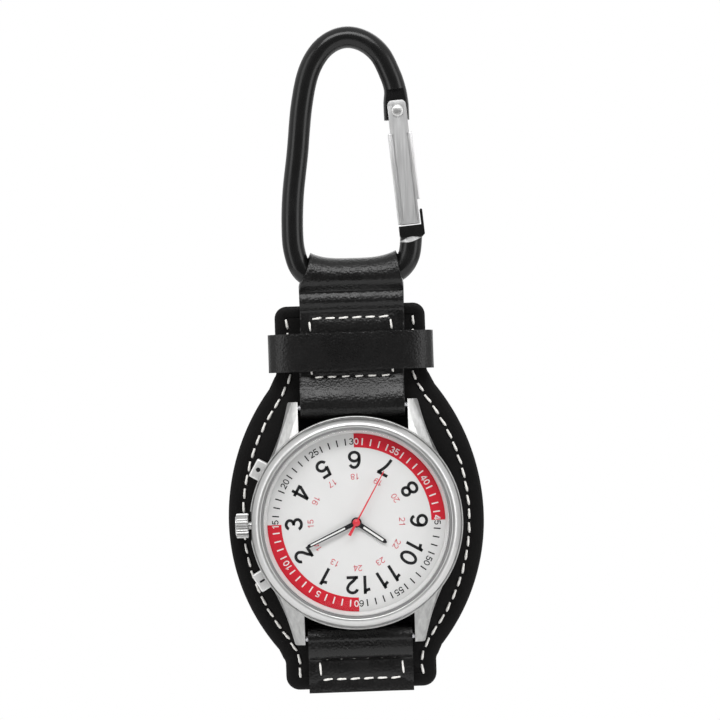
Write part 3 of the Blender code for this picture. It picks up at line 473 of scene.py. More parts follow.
def skin(bm, near, far, closed=True):
    """Four-sided faces between two rows of points."""
    for i in range(len(near) if closed else len(near) - 1):
        j = (i + 1) % len(near)
        bm.faces.new((near[i], near[j], far[j], far[i]))


def boolean(obj, others, operation):
    for other in others:
        step = obj.modifiers.new(operation, "BOOLEAN")
        step.operation = operation
        step.solver = "EXACT"
        step.object = other
    obj = smoothed(obj)
    for other in others:
        bpy.data.objects.remove(other, do_unlink=True)
    return obj


def cut(obj, *others):
    return boolean(obj, others, "DIFFERENCE")


def join(obj, *others):
    return boolean(obj, others, "UNION")


def bevelled(obj, width, segments=3, angle=30, shade=40):
    bevel = obj.modifiers.new("Edges", "BEVEL")
    bevel.width = width * MM
    bevel.segments = segments
    bevel.limit_method = "ANGLE"
    bevel.angle_limit = math.radians(angle)
    return smoothed(obj, shade)


def arc(centre, radius, start, end, count):
    made = []
    for i in range(count + 1):
        a = math.radians(start + (end - start) * i / count)
        made.append((centre[0] + radius * math.cos(a), centre[1] + radius * math.sin(a)))
    return made


def through(points, per_span):
    """A smooth curve (Catmull-Rom) through a short list of points."""
    made = []
    padded = [points[0], *points, points[-1]]
    for a, b, c, d in zip(padded, padded[1:], padded[2:], padded[3:]):
        for i in range(per_span):
            t = i / per_span
            made.append(tuple(0.5 * (2 * q + (r - p) * t + (2 * p - 5 * q + 4 * r - s) * t * t
                                     + (3 * q - p - 3 * r + s) * t ** 3)
                              for p, q, r, s in zip(a, b, c, d)))
    made.append(tuple(points[-1]))
    return made


def evenly(points, gap):
    """The same route with its points about gap apart."""
    made = [Vector(points[0])]
    for a, b in zip(points, points[1:]):
        a, b = Vector(a), Vector(b)
        steps = max(1, round((b - a).length / gap))
        made += [a.lerp(b, (i + 1) / steps) for i in range(steps)]
    return made


def piece(obj, body, material, slot, *replaced):
    """Puts a finished shape in the row frame, gives it its material and body, and hides the CAD nodes it
    replaces.
    """
    obj.data.transform(Matrix.Translation(CENTRE * MM))
    obj.data.materials.clear()
    obj.data.materials.append(material)
    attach(obj, body)
    if replaced:
        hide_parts(*replaced)
    return obj


# ---------- snap hook

def in_gate_frame(obj):
    return shift(obj, HINGE, Matrix.Rotation(-GATE_TILT, 3, "Y"))


def make_hook(material):
    spine = [(9.78, 0, 72.9, 1.16), (9.74, 0, 76.0, 1.16), (9.62, 0, 78.6, 1.02),
             (8.8, 0, 81.4, 1), (7.1, 0, 85.0, 1), (4.5, 0, 87.35, 1), (1.4, 0, 88.3, 1),
             (-1.6, 0, 87.6, 1), (-4.2, 0, 85.4, 1), (-6.2, 0, 81.6, 1), (-7.55, 0, 75.6, 1),
             (-8.5, 0, 67.6, 1), (-9.6, 0, 59.5, 1), (-9.9, 0, 52.6, 1), (-9.5, 0, 48.9, 1),
             (-8.5, 0, 46.3, 1), (-6.6, 0, 44.85, 1), (-3.2, 0, HOOK_BAR_Z, 1), (3.6, 0, HOOK_BAR_Z, 1),
             (7.0, 0, 44.75, 1), (9.6, 0, 45.9, 1), (11.2, 0, 48.3, 1), (11.75, 0, 51.9, 1)]
    body = pipe("hook", through(spine, 10), HOOK_WIRE, 32)
    top, low = -GATE_LENGTH - 0.3, -GATE_LENGTH - 2.5
    outline = ([(-1.9, low), (-WING_HALF, low + 0.45), (-WING_HALF, top), (1.92, top), (1.92, -18.4)]
               + arc((2.16, -18.4), 0.24, 180, 0, 5)
               + [(2.4, low + 0.45), (1.9, low)])
    nose = in_gate_frame(bevelled(plate("nose", outline, -CHEEK_OUT, CHEEK_OUT), 0.22, 3, 50))
    body = join(body, nose)
    flats = []
    for side in (-1, 1):
        low_y, high_y = sorted((side * TAB_HALF, side * 6))
        flats.append(in_gate_frame(block("flat", (-3.4, low_y, -3.6), (3.6, high_y, 4.0))))
    body = cut(body, *flats)
    piece(bevelled(body, 0.12, 2, 40), "hook", material, "black_metal", "carabiner_body")


def make_gate(material, rivet_material):
    wall, top, floor, corner, head = 0.5, -4.0, -11.5, 0.9, 1.9
    line_x, line_half, line_deep = 1.3, 0.13, 0.42
    outline = ([(-CHEEK_HALF, -GATE_LENGTH), (CHEEK_HALF, -GATE_LENGTH)]
               + arc((CHEEK_HALF - corner, head - corner), corner, 0, 90, 10)
               + arc((corner - CHEEK_HALF, head - corner), corner, 90, 180, 10))
    cheeks = bevelled(plate("gate", outline, -CHEEK_OUT, CHEEK_OUT), 0.16, 3, 50)
    wings = bevelled(block("wings", (-WING_HALF, -1.72, -GATE_LENGTH + 0.1), (WING_HALF, 1.72, top)), 0.2, 3)
    gate = join(cheeks, wings)
    slot = block("slot", (-4, -CHEEK_IN, top + 0.01), (4, CHEEK_IN, 4))
    room = WING_HALF - wall
    upper = block("upper", (-room, -CHEEK_IN, floor), (room, CHEEK_IN, top + 1))
    lower = block("lower", (-room, -CHEEK_IN, -30), (room, CHEEK_IN, floor - 0.6))
    lip_room = block("lip_room", (CHEEK_HALF + 0.02, -4, -30), (4, 4, -16.3))
    lines = [block("line", (side * line_x - line_half, face * CHEEK_OUT - line_deep, 0.5 - GATE_LENGTH),
                   (side * line_x + line_half, face * CHEEK_OUT + line_deep, top - 0.2))
             for side in (-1, 1) for face in (-1, 1)]
    gate = cut(gate, slot, upper, lower, lip_room, *lines)
    piece(in_gate_frame(gate), "gate", material, "satin_steel", "carabiner_gate")
    edge = CHEEK_OUT + 0.04
    half = [(0.8, edge), (1.12, edge + 0.03)] + [(1.1 * math.cos(a), edge + 0.08 + 0.36 * math.sin(a))
                                                for a in (math.pi / 2 * i / 8 for i in range(1, 8))]
    profile = [(0, -edge - 0.44)] + [(r, -y) for r, y in reversed(half)] + half + [(0, edge + 0.44)]
    rivet = shift(turned("rivet", profile, "Y", 48, 60), HINGE)
    piece(rivet, "hook", rivet_material, "satin_steel", "gate_rivet")


# ---------- leather

def pad_outline(inset=0.0, fine=3.0):
    """The pad's edge, or a line set in from it, clockwise from the top right."""
    neck, upper_r, lower_r = 13.75, 39.6, 37.0
    bulge_z = (PAD_TOP + PAD_BOTTOM) / 2 - 4.05
    count = round(13 * fine)
    right = arc((neck - 2.2, PAD_TOP - 2.2), max(2.2 - inset, 0.05), 90, 0, 8)
    right += arc((neck + 1.6, 27.7), 1.6 + inset, 180, 221 + inset * 0.6, 6)
    right += arc((BULGE_HALF - upper_r, bulge_z), upper_r - inset, 37.5 - inset * 0.2, 0, count)
    right += arc((BULGE_HALF - lower_r, bulge_z), lower_r - inset, 0, -39.5 + inset * 0.2, count)[1:]
    right += arc((neck + 1.6, -25.7), 1.6 + inset, 139 - inset * 0.6, 180, 6)
    right += arc((neck - 2.5, PAD_BOTTOM + 2.5), max(2.5 - inset, 0.05), 0, -90, 8)
    return right + [(-x, z) for x, z in reversed(right)]


STITCH_INSET = 2.7
SEAM_LOW, SEAM_HIGH = -28.6, 37.6


def make_pad(name, front, back, rounding, groove, material, *replaced):
    """A leather layer: its edges rounded by a stack of inset loops, grooved along its seam."""
    inner, wide, narrow = 5.5, 0.7, 0.25
    steps = [(0.0, rounding), (rounding * 0.3, rounding * 0.35), (rounding, 0.0), (STITCH_INSET - wide, 0.0),
             (STITCH_INSET - narrow, groove), (STITCH_INSET + narrow, groove), (STITCH_INSET + wide, 0.0),
             (inner, 0.0)]
    bm = bmesh.new()

    def loop(inset, y, sunk):
        made = []
        for x, z in pad_outline(inset):
            beside = SEAM_LOW - 0.4 < z < SEAM_HIGH + 0.4 and abs(x) > STRAP_HALF
            wave = 0.06 * noise.noise(Vector((x, z, 7)) * 0.09)
            made.append(bm.verts.new(Vector((x, y + wave + sunk * beside, z)) * MM))
        return made

    rings = []
    for inset, depth in steps:
        sunk = depth if inset > 1 else 0
        rings.append(loop(inset, front + (depth if inset < 1 else 0), sunk))
    rings = rings[::-1]
    rings += [loop(0.0, back - rounding, 0), loop(rounding * 0.3, back - rounding * 0.35, 0),
              loop(rounding, back, 0), loop(inner, back, 0)]
    for near, far in zip(rings, rings[1:]):
        skin(bm, near, far)
    bm.faces.new(rings[0])
    bm.faces.new(rings[-1])
    bmesh.ops.triangulate(bm, faces=[f for f in bm.faces if len(f.verts) > 4])
    pad = smoothed(add_mesh(name, bm), 50)
    return piece(pad, "watch", material, "pad_leather", *replaced)


def ribbon(name, route, columns, sculpt, thickness, closed=False):
    """Leather whose sculpt() places each route point at s, from -1 to 1 across: sheet, then thickness."""
    bm = bmesh.new()
    grid = []
    for point in route:
        steps = (i / columns * 2 - 1 for i in range(columns + 1))
        grid.append([bm.verts.new(sculpt(point, s) * MM) for s in steps])
    pairs = list(zip(grid, grid[1:])) + ([(grid[-1], grid[0])] if closed else [])
    for near, far in pairs:
        skin(bm, near, far, closed=False)
    obj = add_mesh(name, bm)
    thick = obj.modifiers.new("Leather", "SOLIDIFY")
    thick.thickness = thickness * MM
    thick.offset = 0
    thick.use_even_offset = True
    return bevelled(smoothed(obj), 0.3, 4, 60, 60)


def soft_step(value, low, high):
    t = min(max((value - low) / (high - low), 0), 1)
    return t * t * (3 - 2 * t)


BOX_GROOVE = 0.55


def box_groove(x, z, box):
    """How deep the leather is pulled in by a sewn box: 1 on the seam, 0 away from it."""
    left, right, low, high = box
    dx = max(left - x, 0, x - right)
    dz = max(low - z, 0, z - high)
    if dx or dz:
        away = math.hypot(dx, dz)
    else:
        away = min(x - left, right - x, z - low, high - z)
    return math.exp(-((away / BOX_GROOVE) ** 2))


UPPER_BOX = (-7.3, 7.5, 26.5, 37.2)         # sewn boxes: left, right, bottom and top
LOWER_BOX = (-7.4, 7.6, -28.5, -24.7)
BAR_WRAP = 0.98 + LEATHER / 2               # radius of the leather's middle round a spring bar
HOOK_WRAP = HOOK_WIRE + 0.25 + LEATHER / 2


def make_upper_strap(material):
    tail = [(0.75, 30.6), (0.75, 28.5), (0.75, 26.4), (0.55, 23.9)]
    front = [(-2.72, 22.2), (-2.42, 23.3), (-1.85, 24.5), (-1.2, 25.6), (-0.85, 26.5), (-0.75, 27.4),
             (-0.75, 30.5), (-0.75, 34.0), (-0.75, 37.6), (-0.8, 38.5), (-1.05, 39.0), (-1.55, 39.6),
             (-1.8, 40.1), (-1.72, 40.8), (-1.5, 41.4), (-1.42, 41.9), (-1.6, 42.5)]
    back = [(2.1, 42.4), (1.3, 40.6), (0.85, 39.2), (0.75, 38.0), (0.75, 34.6), (0.75, 31.2)]
    route = evenly(through(tail + arc((BAR_Y, BAR_SPREAD), BAR_WRAP, 20, -180, 12) + front
                           + arc((0, HOOK_BAR_Z), HOOK_WRAP, 198, -18, 14) + back, 4), 0.4)

    def narrowing(z, edge):
        return STRAP_HALF + (edge - STRAP_HALF) * soft_step(z, 42.5, 47.0)

    def sculpt(point, s):
        y, z = point
        x = -narrowing(z, 7.5) * (1 - s) / 2 + narrowing(z, 8.6) * (1 + s) / 2
        lift = 1.25 * soft_step(z, 42.0, 45.5) * abs(s) ** 3.2
        away = Vector((y, z - HOOK_BAR_Z))
        if lift:
            away.normalize()
            y, z = y + away.x * lift * 0.35, z + away.y * lift
        if y < 0 and 24 < z < 40:
            y += 0.2 * box_groove(x, z, UPPER_BOX)
        y += 0.10 * noise.noise(Vector((x * 0.16, y * 0.3, z * 0.2)))
        x += 0.12 * noise.noise(Vector((z * 0.15, s * 2, 3))) + 0.45 * soft_step(z, 24, 40)
        return Vector((x, y, z))

    strap = ribbon("strap_upper", route, 44, sculpt, LEATHER)
    piece(strap, "watch", material, "strap_leather", "upper_strap")


def make_lower_strap(material):
    low = LOWER_STRAP_LOW.z
    tail = [(0.75, low + 0.9), (0.75, -28.0), (0.75, -26.0), (0.55, -23.9)]
    front = [(-2.62, -23.0), (-2.1, -23.9), (-1.2, -24.5), (-0.95, -25.2), (-1.0, -26.6), (-0.95, -28.2),
             (-0.8, -29.2), (-0.8, -30.2), (-0.75, low)]
    route = evenly(through(tail + arc((BAR_Y, -BAR_SPREAD), BAR_WRAP, -20, 200, 12) + front, 4), 0.4)

    def sculpt(point, s):
        y, z = point
        x = STRAP_HALF * s
        if y < 0 and z < -23.8:
            y += 0.22 * box_groove(x, z, LOWER_BOX)
        y += 0.08 * noise.noise(Vector((x * 0.16, y * 0.3, z * 0.2)))
        x += 0.1 * noise.noise(Vector((z * 0.15, s * 2, 9)))
        return Vector((x, y, z))

    strap = ribbon("strap_lower", route, 44, sculpt, LEATHER)
    piece(strap, "watch", material, "strap_leather", "lower_strap")


def make_keeper(material):
    """The band round strap and pad: straight in front, closed in one loop behind."""
    half = KEEPER_LEATHER / 2
    front, side, rear = KEEPER_LOW.y + half, KEEPER_HIGH.x - half, KEEPER_HIGH.y - half
    shoulder = [(6.0, front), (7.5, front), (9.6, front + 0.03), (11.4, front + 0.3),
                (13.0, front + 0.95), (side - 0.35, front + 2.0), (side, front + 3.2), (side, front + 3.6)]
    right = [(0, front)] + through(shoulder, 5)
    right += arc((side - 1.2, rear - 1.2), 1.2, 0, 90, 8)
    ring = right + [(0, rear)] + [(-x, y) for x, y in reversed(right) if x > 0]
    route = evenly(ring + ring[:1], 0.5)[:-1]
    low, high = KEEPER_LOW.z, KEEPER_HIGH.z

    def sculpt(point, s):
        x, y = point
        z = (low * (1 - s) + high * (1 + s)) / 2
        z += 0.1 * noise.noise(Vector((x * 0.09, y * 0.2, 5)))
        inwards = 0.1 * s * s
        y += inwards if y < 1 else -inwards
        y += 0.06 * noise.noise(Vector((x * 0.2, z * 0.2, y * 0.3)))
        return Vector((x, y, z))

    band = ribbon("keeper", route, 16, sculpt, KEEPER_LEATHER, closed=True)
    piece(band, "keeper", material, "strap_leather", "keeper_band")


# ---------- stitches

def stitch(bm, start, end, radius, sink, slant):
    """One stitch of thread: a short rope that rises from its holes, thick in its middle."""
    start, end = Vector(start), Vector(end)
    along = (end - start).normalized()
    out = Vector((0, -1, 0))
    across = along.cross(out).normalized()
    start, end = start + across * slant, end - across * slant
    sides, rings = 10, 12
    hoops = []
    for i in range(rings + 1):
        t = i / rings
        rise = math.sin(math.pi * t) ** 0.45
        middle = start.lerp(end, t) + out * (rise * (radius * 0.75 + sink) - sink)
        thick = radius * (0.55 + 0.45 * math.sin(math.pi * t) ** 0.6)
        hoop = []
        for k in range(sides):
            a = 2 * math.pi * k / sides
            strand = 1 + 0.13 * math.cos(2 * a + t * 9)
            offset = across * math.cos(a) * thick * strand + out * math.sin(a) * thick * strand
            hoop.append(bm.verts.new((middle + offset) * MM))
        hoops.append(hoop)
    for near, far in zip(hoops, hoops[1:]):
        skin(bm, near, far)
    bm.faces.new(hoops[0][::-1])
    bm.faces.new(hoops[-1])


def at(points, distance):
    """The point at a distance along a route."""
    for a, b in zip(points, points[1:]):
        span = (b - a).length
        if distance <= span:
            return a.lerp(b, distance / span)
        distance -= span
    return points[-1]


def seam(name, routes, y, pitch, length, radius, material):
    """Rows of stitches at even steps along routes of (x, z) points, on a surface at y."""
    bm = bmesh.new()
    for route in routes:
        points = [Vector((x, y, z)) for x, z in route]
        total = sum((b - a).length for a, b in zip(points, points[1:]))
        count = max(1, round(total / pitch))
        step = total / count
        gap = (step - length * step / pitch) / 2
        for i in range(count):
            lean = 0.06 + 0.05 * math.sin(i * 2.3 + len(route))
            ends = (at(points, i * step + gap), at(points, (i + 1) * step - gap))
            stitch(bm, *ends, radius, radius * 1.6, lean)
    thread = smoothed(add_mesh(name, bm), 70)
    piece(thread, "watch", material, "strap_leather")


def box_routes(box):
    left, right, low, high = box
    return [[(left + 0.1, high), (right - 0.1, high)], [(right, high - 0.1), (right, low + 0.1)],
            [(right - 0.1, low), (left + 0.1, low)], [(left, low + 0.1), (left, high - 0.1)]]


def make_stitching(material):
    edge = [(x, z) for x, z in pad_outline(STITCH_INSET, 5) if x > 10.5 and SEAM_LOW < z < SEAM_HIGH - 0.1]
    edge = [(edge[0][0], SEAM_HIGH)] + edge + [(edge[-1][0], SEAM_LOW)]
    sides = [edge, [(-x, z) for x, z in edge]]
    seam("pad_stitches", sides, PAD_FRONT + 0.02, 2.5, 2.0, 0.23, material)
    seam("upper_box_stitches", box_routes(UPPER_BOX), -1.2, 2.43, 1.9, 0.19, material)
    seam("lower_box_stitches", box_routes(LOWER_BOX), -1.32, 2.45, 1.9, 0.19, material)


# ---------- watch case

LUG_FRONT, LUG_SLOPE = CASE_FRONT + 0.25, math.radians(17.5)
LUG_FACETS = ((1.75, math.radians(66)), (0.95, math.radians(34)))    # inset at the root, and tilt


def make_lug(side, end):
    root, tip = (15.7, 11.2), (11.95, LUG_TIP - 0.5)
    edge = through([(11.85, LUG_TIP - 0.2), tip, (12.5, 19.35), (13.35, 16.5), (14.75, 13.1), root], 6)
    lug = plate("lug", [(10.0, 13.0), (10.0, LUG_TIP), (11.7, LUG_TIP), *edge, (13.0, 10.8)],
                LUG_FRONT, CASE_REAR - 0.1)
    top = shift(block("lug_top", (-20, -8, -6), (20, 0, 20)), (0, LUG_FRONT, 12.0),
                Matrix.Rotation(-LUG_SLOPE, 3, "X"))
    fall = (tip[1] - root[1]) * math.tan(LUG_SLOPE)
    along = Vector((tip[0] - root[0], fall, tip[1] - root[1])).normalized()
    outwards = along.cross(Vector((0, 1, 0))).normalized() * -1
    facets = []
    for inset, tipped in LUG_FACETS:
        normal = outwards * math.cos(tipped) + Vector((0, -1, 0)) * math.sin(tipped)
        normal = (normal - along * normal.dot(along)).normalized()
        axes = Matrix((normal, along.cross(normal), along)).transposed()
        facets.append(shift(block("lug_side", (0, -12, -20), (8, 12, 20)),
                            (root[0] - inset, LUG_FRONT, root[1]), axes))
    lug = bevelled(cut(lug, top, *facets), 0.16, 4, 14, 30)
    lug.data.transform(Matrix.Diagonal((side, 1, end, 1)))
    if side * end < 0:
        lug.data.flip_normals()
    return lug


def make_case(material):
    front = CASE_FRONT
    shoulder = arc((CASE_R - 0.25, front + 0.25), 0.25, 0, -90, 6)
    belly = arc((CASE_R - 1.3, CASE_REAR - 1.3), 1.3, 90, 0, 8)
    ring = belly + [(CASE_R, front + 1.5)] + shoulder + [(CASE_IN - 1, front), (CASE_IN - 1, CASE_REAR)]
    case = turned("case", ring)
    case = join(case, *[make_lug(side, end) for side in (-1, 1) for end in (-1, 1)])
    cuts = [rod("inside", CASE_IN, -12, 12)]
    for end in (-1, 1):
        for room, r, half, steps in (("loop_room", 2.5, 9.9, 48), ("bar_hole", 0.5, 11.3, 24)):
            cuts.append(shift(rod(room, r, -half, half, "X", steps), (0, BAR_Y, end * BAR_SPREAD)))
    cuts.append(from_side(block("crown_face", (19.0, -8, -2.65), (24, 8, 2.65)), 0))
    for turn in (-1, 1):
        deep, tall = (size / 2 + 0.08 for size in PUSHER_SIZE)
        cuts.append(from_side(block("pocket", (POCKET_FLOOR, -deep, -tall), (24, deep, tall)), turn))
    case = cut(case, *cuts)
    piece(case, "watch", material, "polished_steel", "case_middle")


def from_side(obj, turn):
    """Takes a shape made along +X round to the crown's side, or to a pusher above or below it."""
    around = Matrix.Rotation(math.pi + turn * PUSHER_TURN, 3, "Y")
    return shift(shift(obj, (0, STEM_Y, 0)), turn=around)


def make_bezel(steel, rubber, glass, white):
    top, low = BEZEL_HIGH.y, BEZEL_FRONT
    inner = 17.2
    outline = through([(BEZEL_R - 0.15, top), (BEZEL_R, top - 0.2), (BEZEL_R - 0.03, top - 0.6),
                       (BEZEL_R - 0.25, top - 1.05), (BEZEL_R - 0.62, low + 0.32),
                       (BEZEL_R - 0.95, low + 0.08), (BEZEL_R - 1.25, low), (inner + 0.22, low + 0.02)], 6)
    outline += [(inner + 0.05, low + 0.14), (inner, low + 0.35), (inner, top)]
    piece(turned("bezel_ring", outline, angle=50), "watch", steel, "polished_steel", "bezel")
    seal = [(inner, low + 0.1), (CRYSTAL_R + 0.01, low + 0.1), (CRYSTAL_R + 0.01, top), (inner, top)]
    piece(turned("crystal_seal", seal), "watch", rubber, "black_rubber", "crystal_gasket")
    rear, face = CRYSTAL_HIGH.y, CRYSTAL_LOW.y
    pane = [(0, rear), (CRYSTAL_R, rear), (CRYSTAL_R, face + 0.35), (CRYSTAL_R - 0.06, face + 0.2),
            (CRYSTAL_R - 0.28, face + 0.03), (CRYSTAL_R - 0.4, face), (0, face)]
    piece(turned("crystal_pane", pane), "watch", glass, "glass", "crystal")
    ring = [(REHAUT_HIGH.x, REHAUT_LOW.y), (REHAUT_HIGH.x - 0.2, REHAUT_LOW.y)]
    ring += [(DIAL_SEEN, REHAUT_HIGH.y), (REHAUT_HIGH.x, REHAUT_HIGH.y)]
    piece(turned("rehaut", ring, angle=20), "watch", white, "rehaut_white", "rehaut_ring")


def make_crown(material):
    inner, outer, radius = 0.2 - CROWN_HIGH.x, -CROWN_LOW.x, CROWN_HIGH.z
    rim, flutes, depth, around = outer - 0.2, 26, 0.24, 8
    outline = []
    for i in range(flutes * around):
        wave = 0.5 + 0.5 * math.cos(2 * math.pi * i / around)
        r = radius - depth * wave ** 1.6
        a = 2 * math.pi * i / (flutes * around)
        outline.append((r * math.cos(a), r * math.sin(a)))
    knob = plate("crown_knob", outline, inner, rim, axis="X")
    chamfers = []
    for end, inwards in ((rim, -1), (inner, 1)):
        past, within = end - inwards * 0.01, end + inwards * 0.15
        ring = [(radius - 0.15, past), (radius + 0.01, within), (radius + 1, within), (radius + 1, past)]
        chamfers.append(turned("chamfer", ring, "X", 96))
    knob = cut(knob, *chamfers)
    cap = [(0, rim - 0.2), (1.85, rim - 0.2), (1.8, rim + 0.1), (1.6, rim + 0.16), (0.8, outer - 0.01),
           (0, outer)]
    knob = join(knob, turned("crown_cap", cap, "X", 96))
    knob = join(knob, rod("crown_neck", 0.75, 18.9, inner + 0.3, "X", 32))
    piece(from_side(knob, 0), "crown", material, "polished_steel", "crown")


def make_pusher(name, turn, material, black):
    """A bevelled square pusher with a dimple or a slot in its front, filled with black as painted shade."""
    deep, tall = (size / 2 for size in PUSHER_SIZE)
    knob = bevelled(block(name + "_cap", (PUSHER_INNER, -deep, -tall), (PUSHER_OUTER, deep, tall)), 0.3, 5)
    stem = rod("stem", 0.78, 15.5, 18.9, "X", 32)

    def mark(spare, near, far):
        """The room of the dimple or slot, or the black painted-shade filling that leaves its top open."""
        if turn > 0:
            return shift(rod(name + "_hollow_shade", 0.42 - spare, near, far, "Y", 32), (20.2, 0, 0))
        half = 0.19 - spare
        slot = block(name + "_hollow_shade", (19.55 + spare, near, -half), (20.6 - spare, far, half))
        return bevelled(slot, 0.12, 4)

    knob = from_side(cut(join(knob, stem), mark(0, -5, 0.5 - deep)), turn)
    piece(knob, name, material, "polished_steel", name)
    # black filling that paints the shade inside the dimple or slot, its top left open
    painted_shade = from_side(mark(0.01, 0.1 - deep, 0.49 - deep), turn)
    piece(painted_shade, name, black, "hand_black")


# ---------- dial

def pointing(turn, r, across=0.0):
    """(x, z) at r along a line turned clockwise from twelve, which points down."""
    return (-r * math.sin(turn) - across * math.cos(turn), -r * math.cos(turn) + across * math.sin(turn))


PRINT_THICK = 0.012


def oval(x, z, across, tall, start, end):
    """Points round an oval, in degrees counter-clockwise from its right side."""
    count = max(4, round(abs(end - start) / 12))
    angles = (math.radians(start + (end - start) * i / count) for i in range(count + 1))
    return [(x + across * math.cos(a), z + tall * math.sin(a)) for a in angles]


# Middle lines of each digit's strokes, for a digit of height 1 in a cell of width 0.7
SIX = [oval(0.35, 0.325, 0.27, 0.245, 0, 370),
       oval(0.37, 0.5, 0.29, 0.42, 38, 180) + [(0.08, 0.33)]]
DIGITS = {
    "0": [oval(0.35, 0.5, 0.27, 0.42, 0, 370)],
    "1": [[(0.42, 0.0), (0.42, 1.0)], through([(0.42, 0.93), (0.34, 0.8), (0.14, 0.74)], 4)],
    "2": [through(oval(0.35, 0.68, 0.27, 0.24, 168, -20) + [(0.5, 0.43), (0.3, 0.27), (0.12, 0.06)], 2),
          [(0.03, 0.08), (0.66, 0.08)]],
    "3": [oval(0.34, 0.715, 0.235, 0.205, 165, -100), oval(0.35, 0.295, 0.27, 0.215, 100, -165)],
    "4": [[(0.47, 0.98), (0.05, 0.28)], [(0.0, 0.25), (0.68, 0.25)], [(0.47, 0.0), (0.47, 1.0)]],
    "5": [[(0.13, 0.92), (0.62, 0.92)], [(0.19, 0.98), (0.12, 0.45)],
          oval(0.35, 0.33, 0.27, 0.25, 150, -162)],
    "6": SIX,
    "7": [[(0.04, 0.92), (0.66, 0.92)], through([(0.62, 0.95), (0.45, 0.66), (0.33, 0.36), (0.27, 0.0)], 4)],
    "8": [oval(0.35, 0.72, 0.22, 0.2, 0, 370), oval(0.35, 0.3, 0.27, 0.22, 0, 370)],
    "9": [[(0.7 - x, 1 - z) for x, z in stroke] for stroke in SIX],
}
DIGIT_STEP = 0.76


def strip(bm, line, width, across, up, start):
    """A flat stroke of even width along a line of (x, z) points, set out from start."""
    line = [Vector(p) for p in line]
    sides = []
    for i, point in enumerate(line):
        ahead = (line[min(i + 1, len(line) - 1)] - line[max(i - 1, 0)]).normalized()
        aside = Vector((-ahead.y, ahead.x)) * width / 2
        ends = (point + aside, point - aside)
        sides.append([bm.verts.new(start + across * p.x + up * p.y) for p in ends])
    for (a, b), (c, d) in zip(sides, sides[1:]):
        bm.faces.new((a, b, d, c))


def printed(bm, text, size, turn, r, outward, weight, step=0.0):
    """Adds a numeral in millimetres to a flat layer, its top away from the centre or towards it."""
    x, z = pointing(turn, r)
    up = Vector((x, 0, z)).normalized() * size * MM * (1 if outward else -1)
    across = up.cross(Vector((0, -1, 0)))
    strokes = [[(px + i * DIGIT_STEP, pz) for px, pz in line] for i, digit in enumerate(text)
               for line in DIGITS[digit]]
    xs = [p[0] for line in strokes for p in line]
    middle = (min(xs) + max(xs)) / 2 - step
    start = Vector((x, DIAL_FRONT - PRINT_THICK, z)) * MM - across * middle - up * 0.5
    for line in strokes:
        strip(bm, line, weight, across, up, start)


def tick(bm, turn, inner, outer, width):
    corners = ((inner, -width / 2), (inner, width / 2), (outer, width / 2), (outer, -width / 2))
    points = (pointing(turn, r, across) for r, across in corners)
    bm.faces.new([bm.verts.new(Vector((x, DIAL_FRONT - PRINT_THICK, z)) * MM) for x, z in points])


def on_red(minute):
    return 0 < minute < 15 or 30 < minute < 45


HOUR_R, HOUR_SIZE = 11.35, 3.3
TRACK_R, TRACK_SIZE = 14.7, 1.2
TICK_R = (14.05, 15.3)


def make_dial(white, red, black, white_ink, red_ink):
    face = [(0.95, DIAL_FRONT), (DIAL_R, DIAL_FRONT), (DIAL_R, DIAL_HIGH.y), (0.95, DIAL_HIGH.y)]
    piece(turned("dial_plate", face), "watch", white, "dial_white", "dial")
    inner, outer, steps = 13.6, 16.15, 60
    for name, start in (("red_first", 0), ("red_third", 180)):
        a, b = math.radians(start), math.radians(start + 90)
        band = [pointing(a + (b - a) * i / steps, outer) for i in range(steps + 1)]
        band += [pointing(b + (a - b) * i / steps, inner) for i in range(steps + 1)]
        layer = plate("ring_" + name, band, DIAL_FRONT - PRINT_THICK, DIAL_FRONT - 0.001)
        piece(layer, "watch", red, "hand_red")
    inks = {"hours": (black, "hand_black"), "track_black": (black, "hand_black"),
            "track_white": (white_ink, "dial_white"), "second_hours": (red_ink, "hand_red")}
    layers = {name: bmesh.new() for name in inks}

    def track(minute):
        return layers["track_white" if on_red(minute % 60) else "track_black"]

    for hour in range(1, 13):
        turn = math.radians(hour * 30)
        outward = hour not in (4, 5, 6, 7, 8)
        printed(layers["hours"], str(hour), HOUR_SIZE, turn, HOUR_R, outward, 0.165)
        printed(layers["second_hours"], str(hour + 12), 1.12, turn, 8.3, outward, 0.12)
    for minute in range(1, 61):
        turn = math.radians(minute * 6)
        if minute % 5:
            tick(track(minute), turn, *TICK_R, 0.23)
        elif minute % 15:
            printed(track(minute), str(minute), TRACK_SIZE, turn, TRACK_R, True, 0.15)
        else:
            for side, digit in zip((-1, 1), str(minute)):
                printed(track(minute + side), digit, TRACK_SIZE, turn, TRACK_R, True, 0.15,
                        side * DIGIT_STEP / 2)
    for name, bm in layers.items():
        layer = add_mesh("print_" + name, bm)
        ink = layer.modifiers.new("Ink", "SOLIDIFY")
        ink.thickness = PRINT_THICK / 2 * MM
        ink.offset = 0
        piece(smoothed(layer, 30), "watch", *inks[name])


# ---------- hands

def both_sides(turn, line):
    """A closed outline along a hand: (distance, half width) points, then their mirror image."""
    points = line + [(r, -half) for r, half in reversed(line)]
    return [pointing(turn, r, across) for r, across in points]


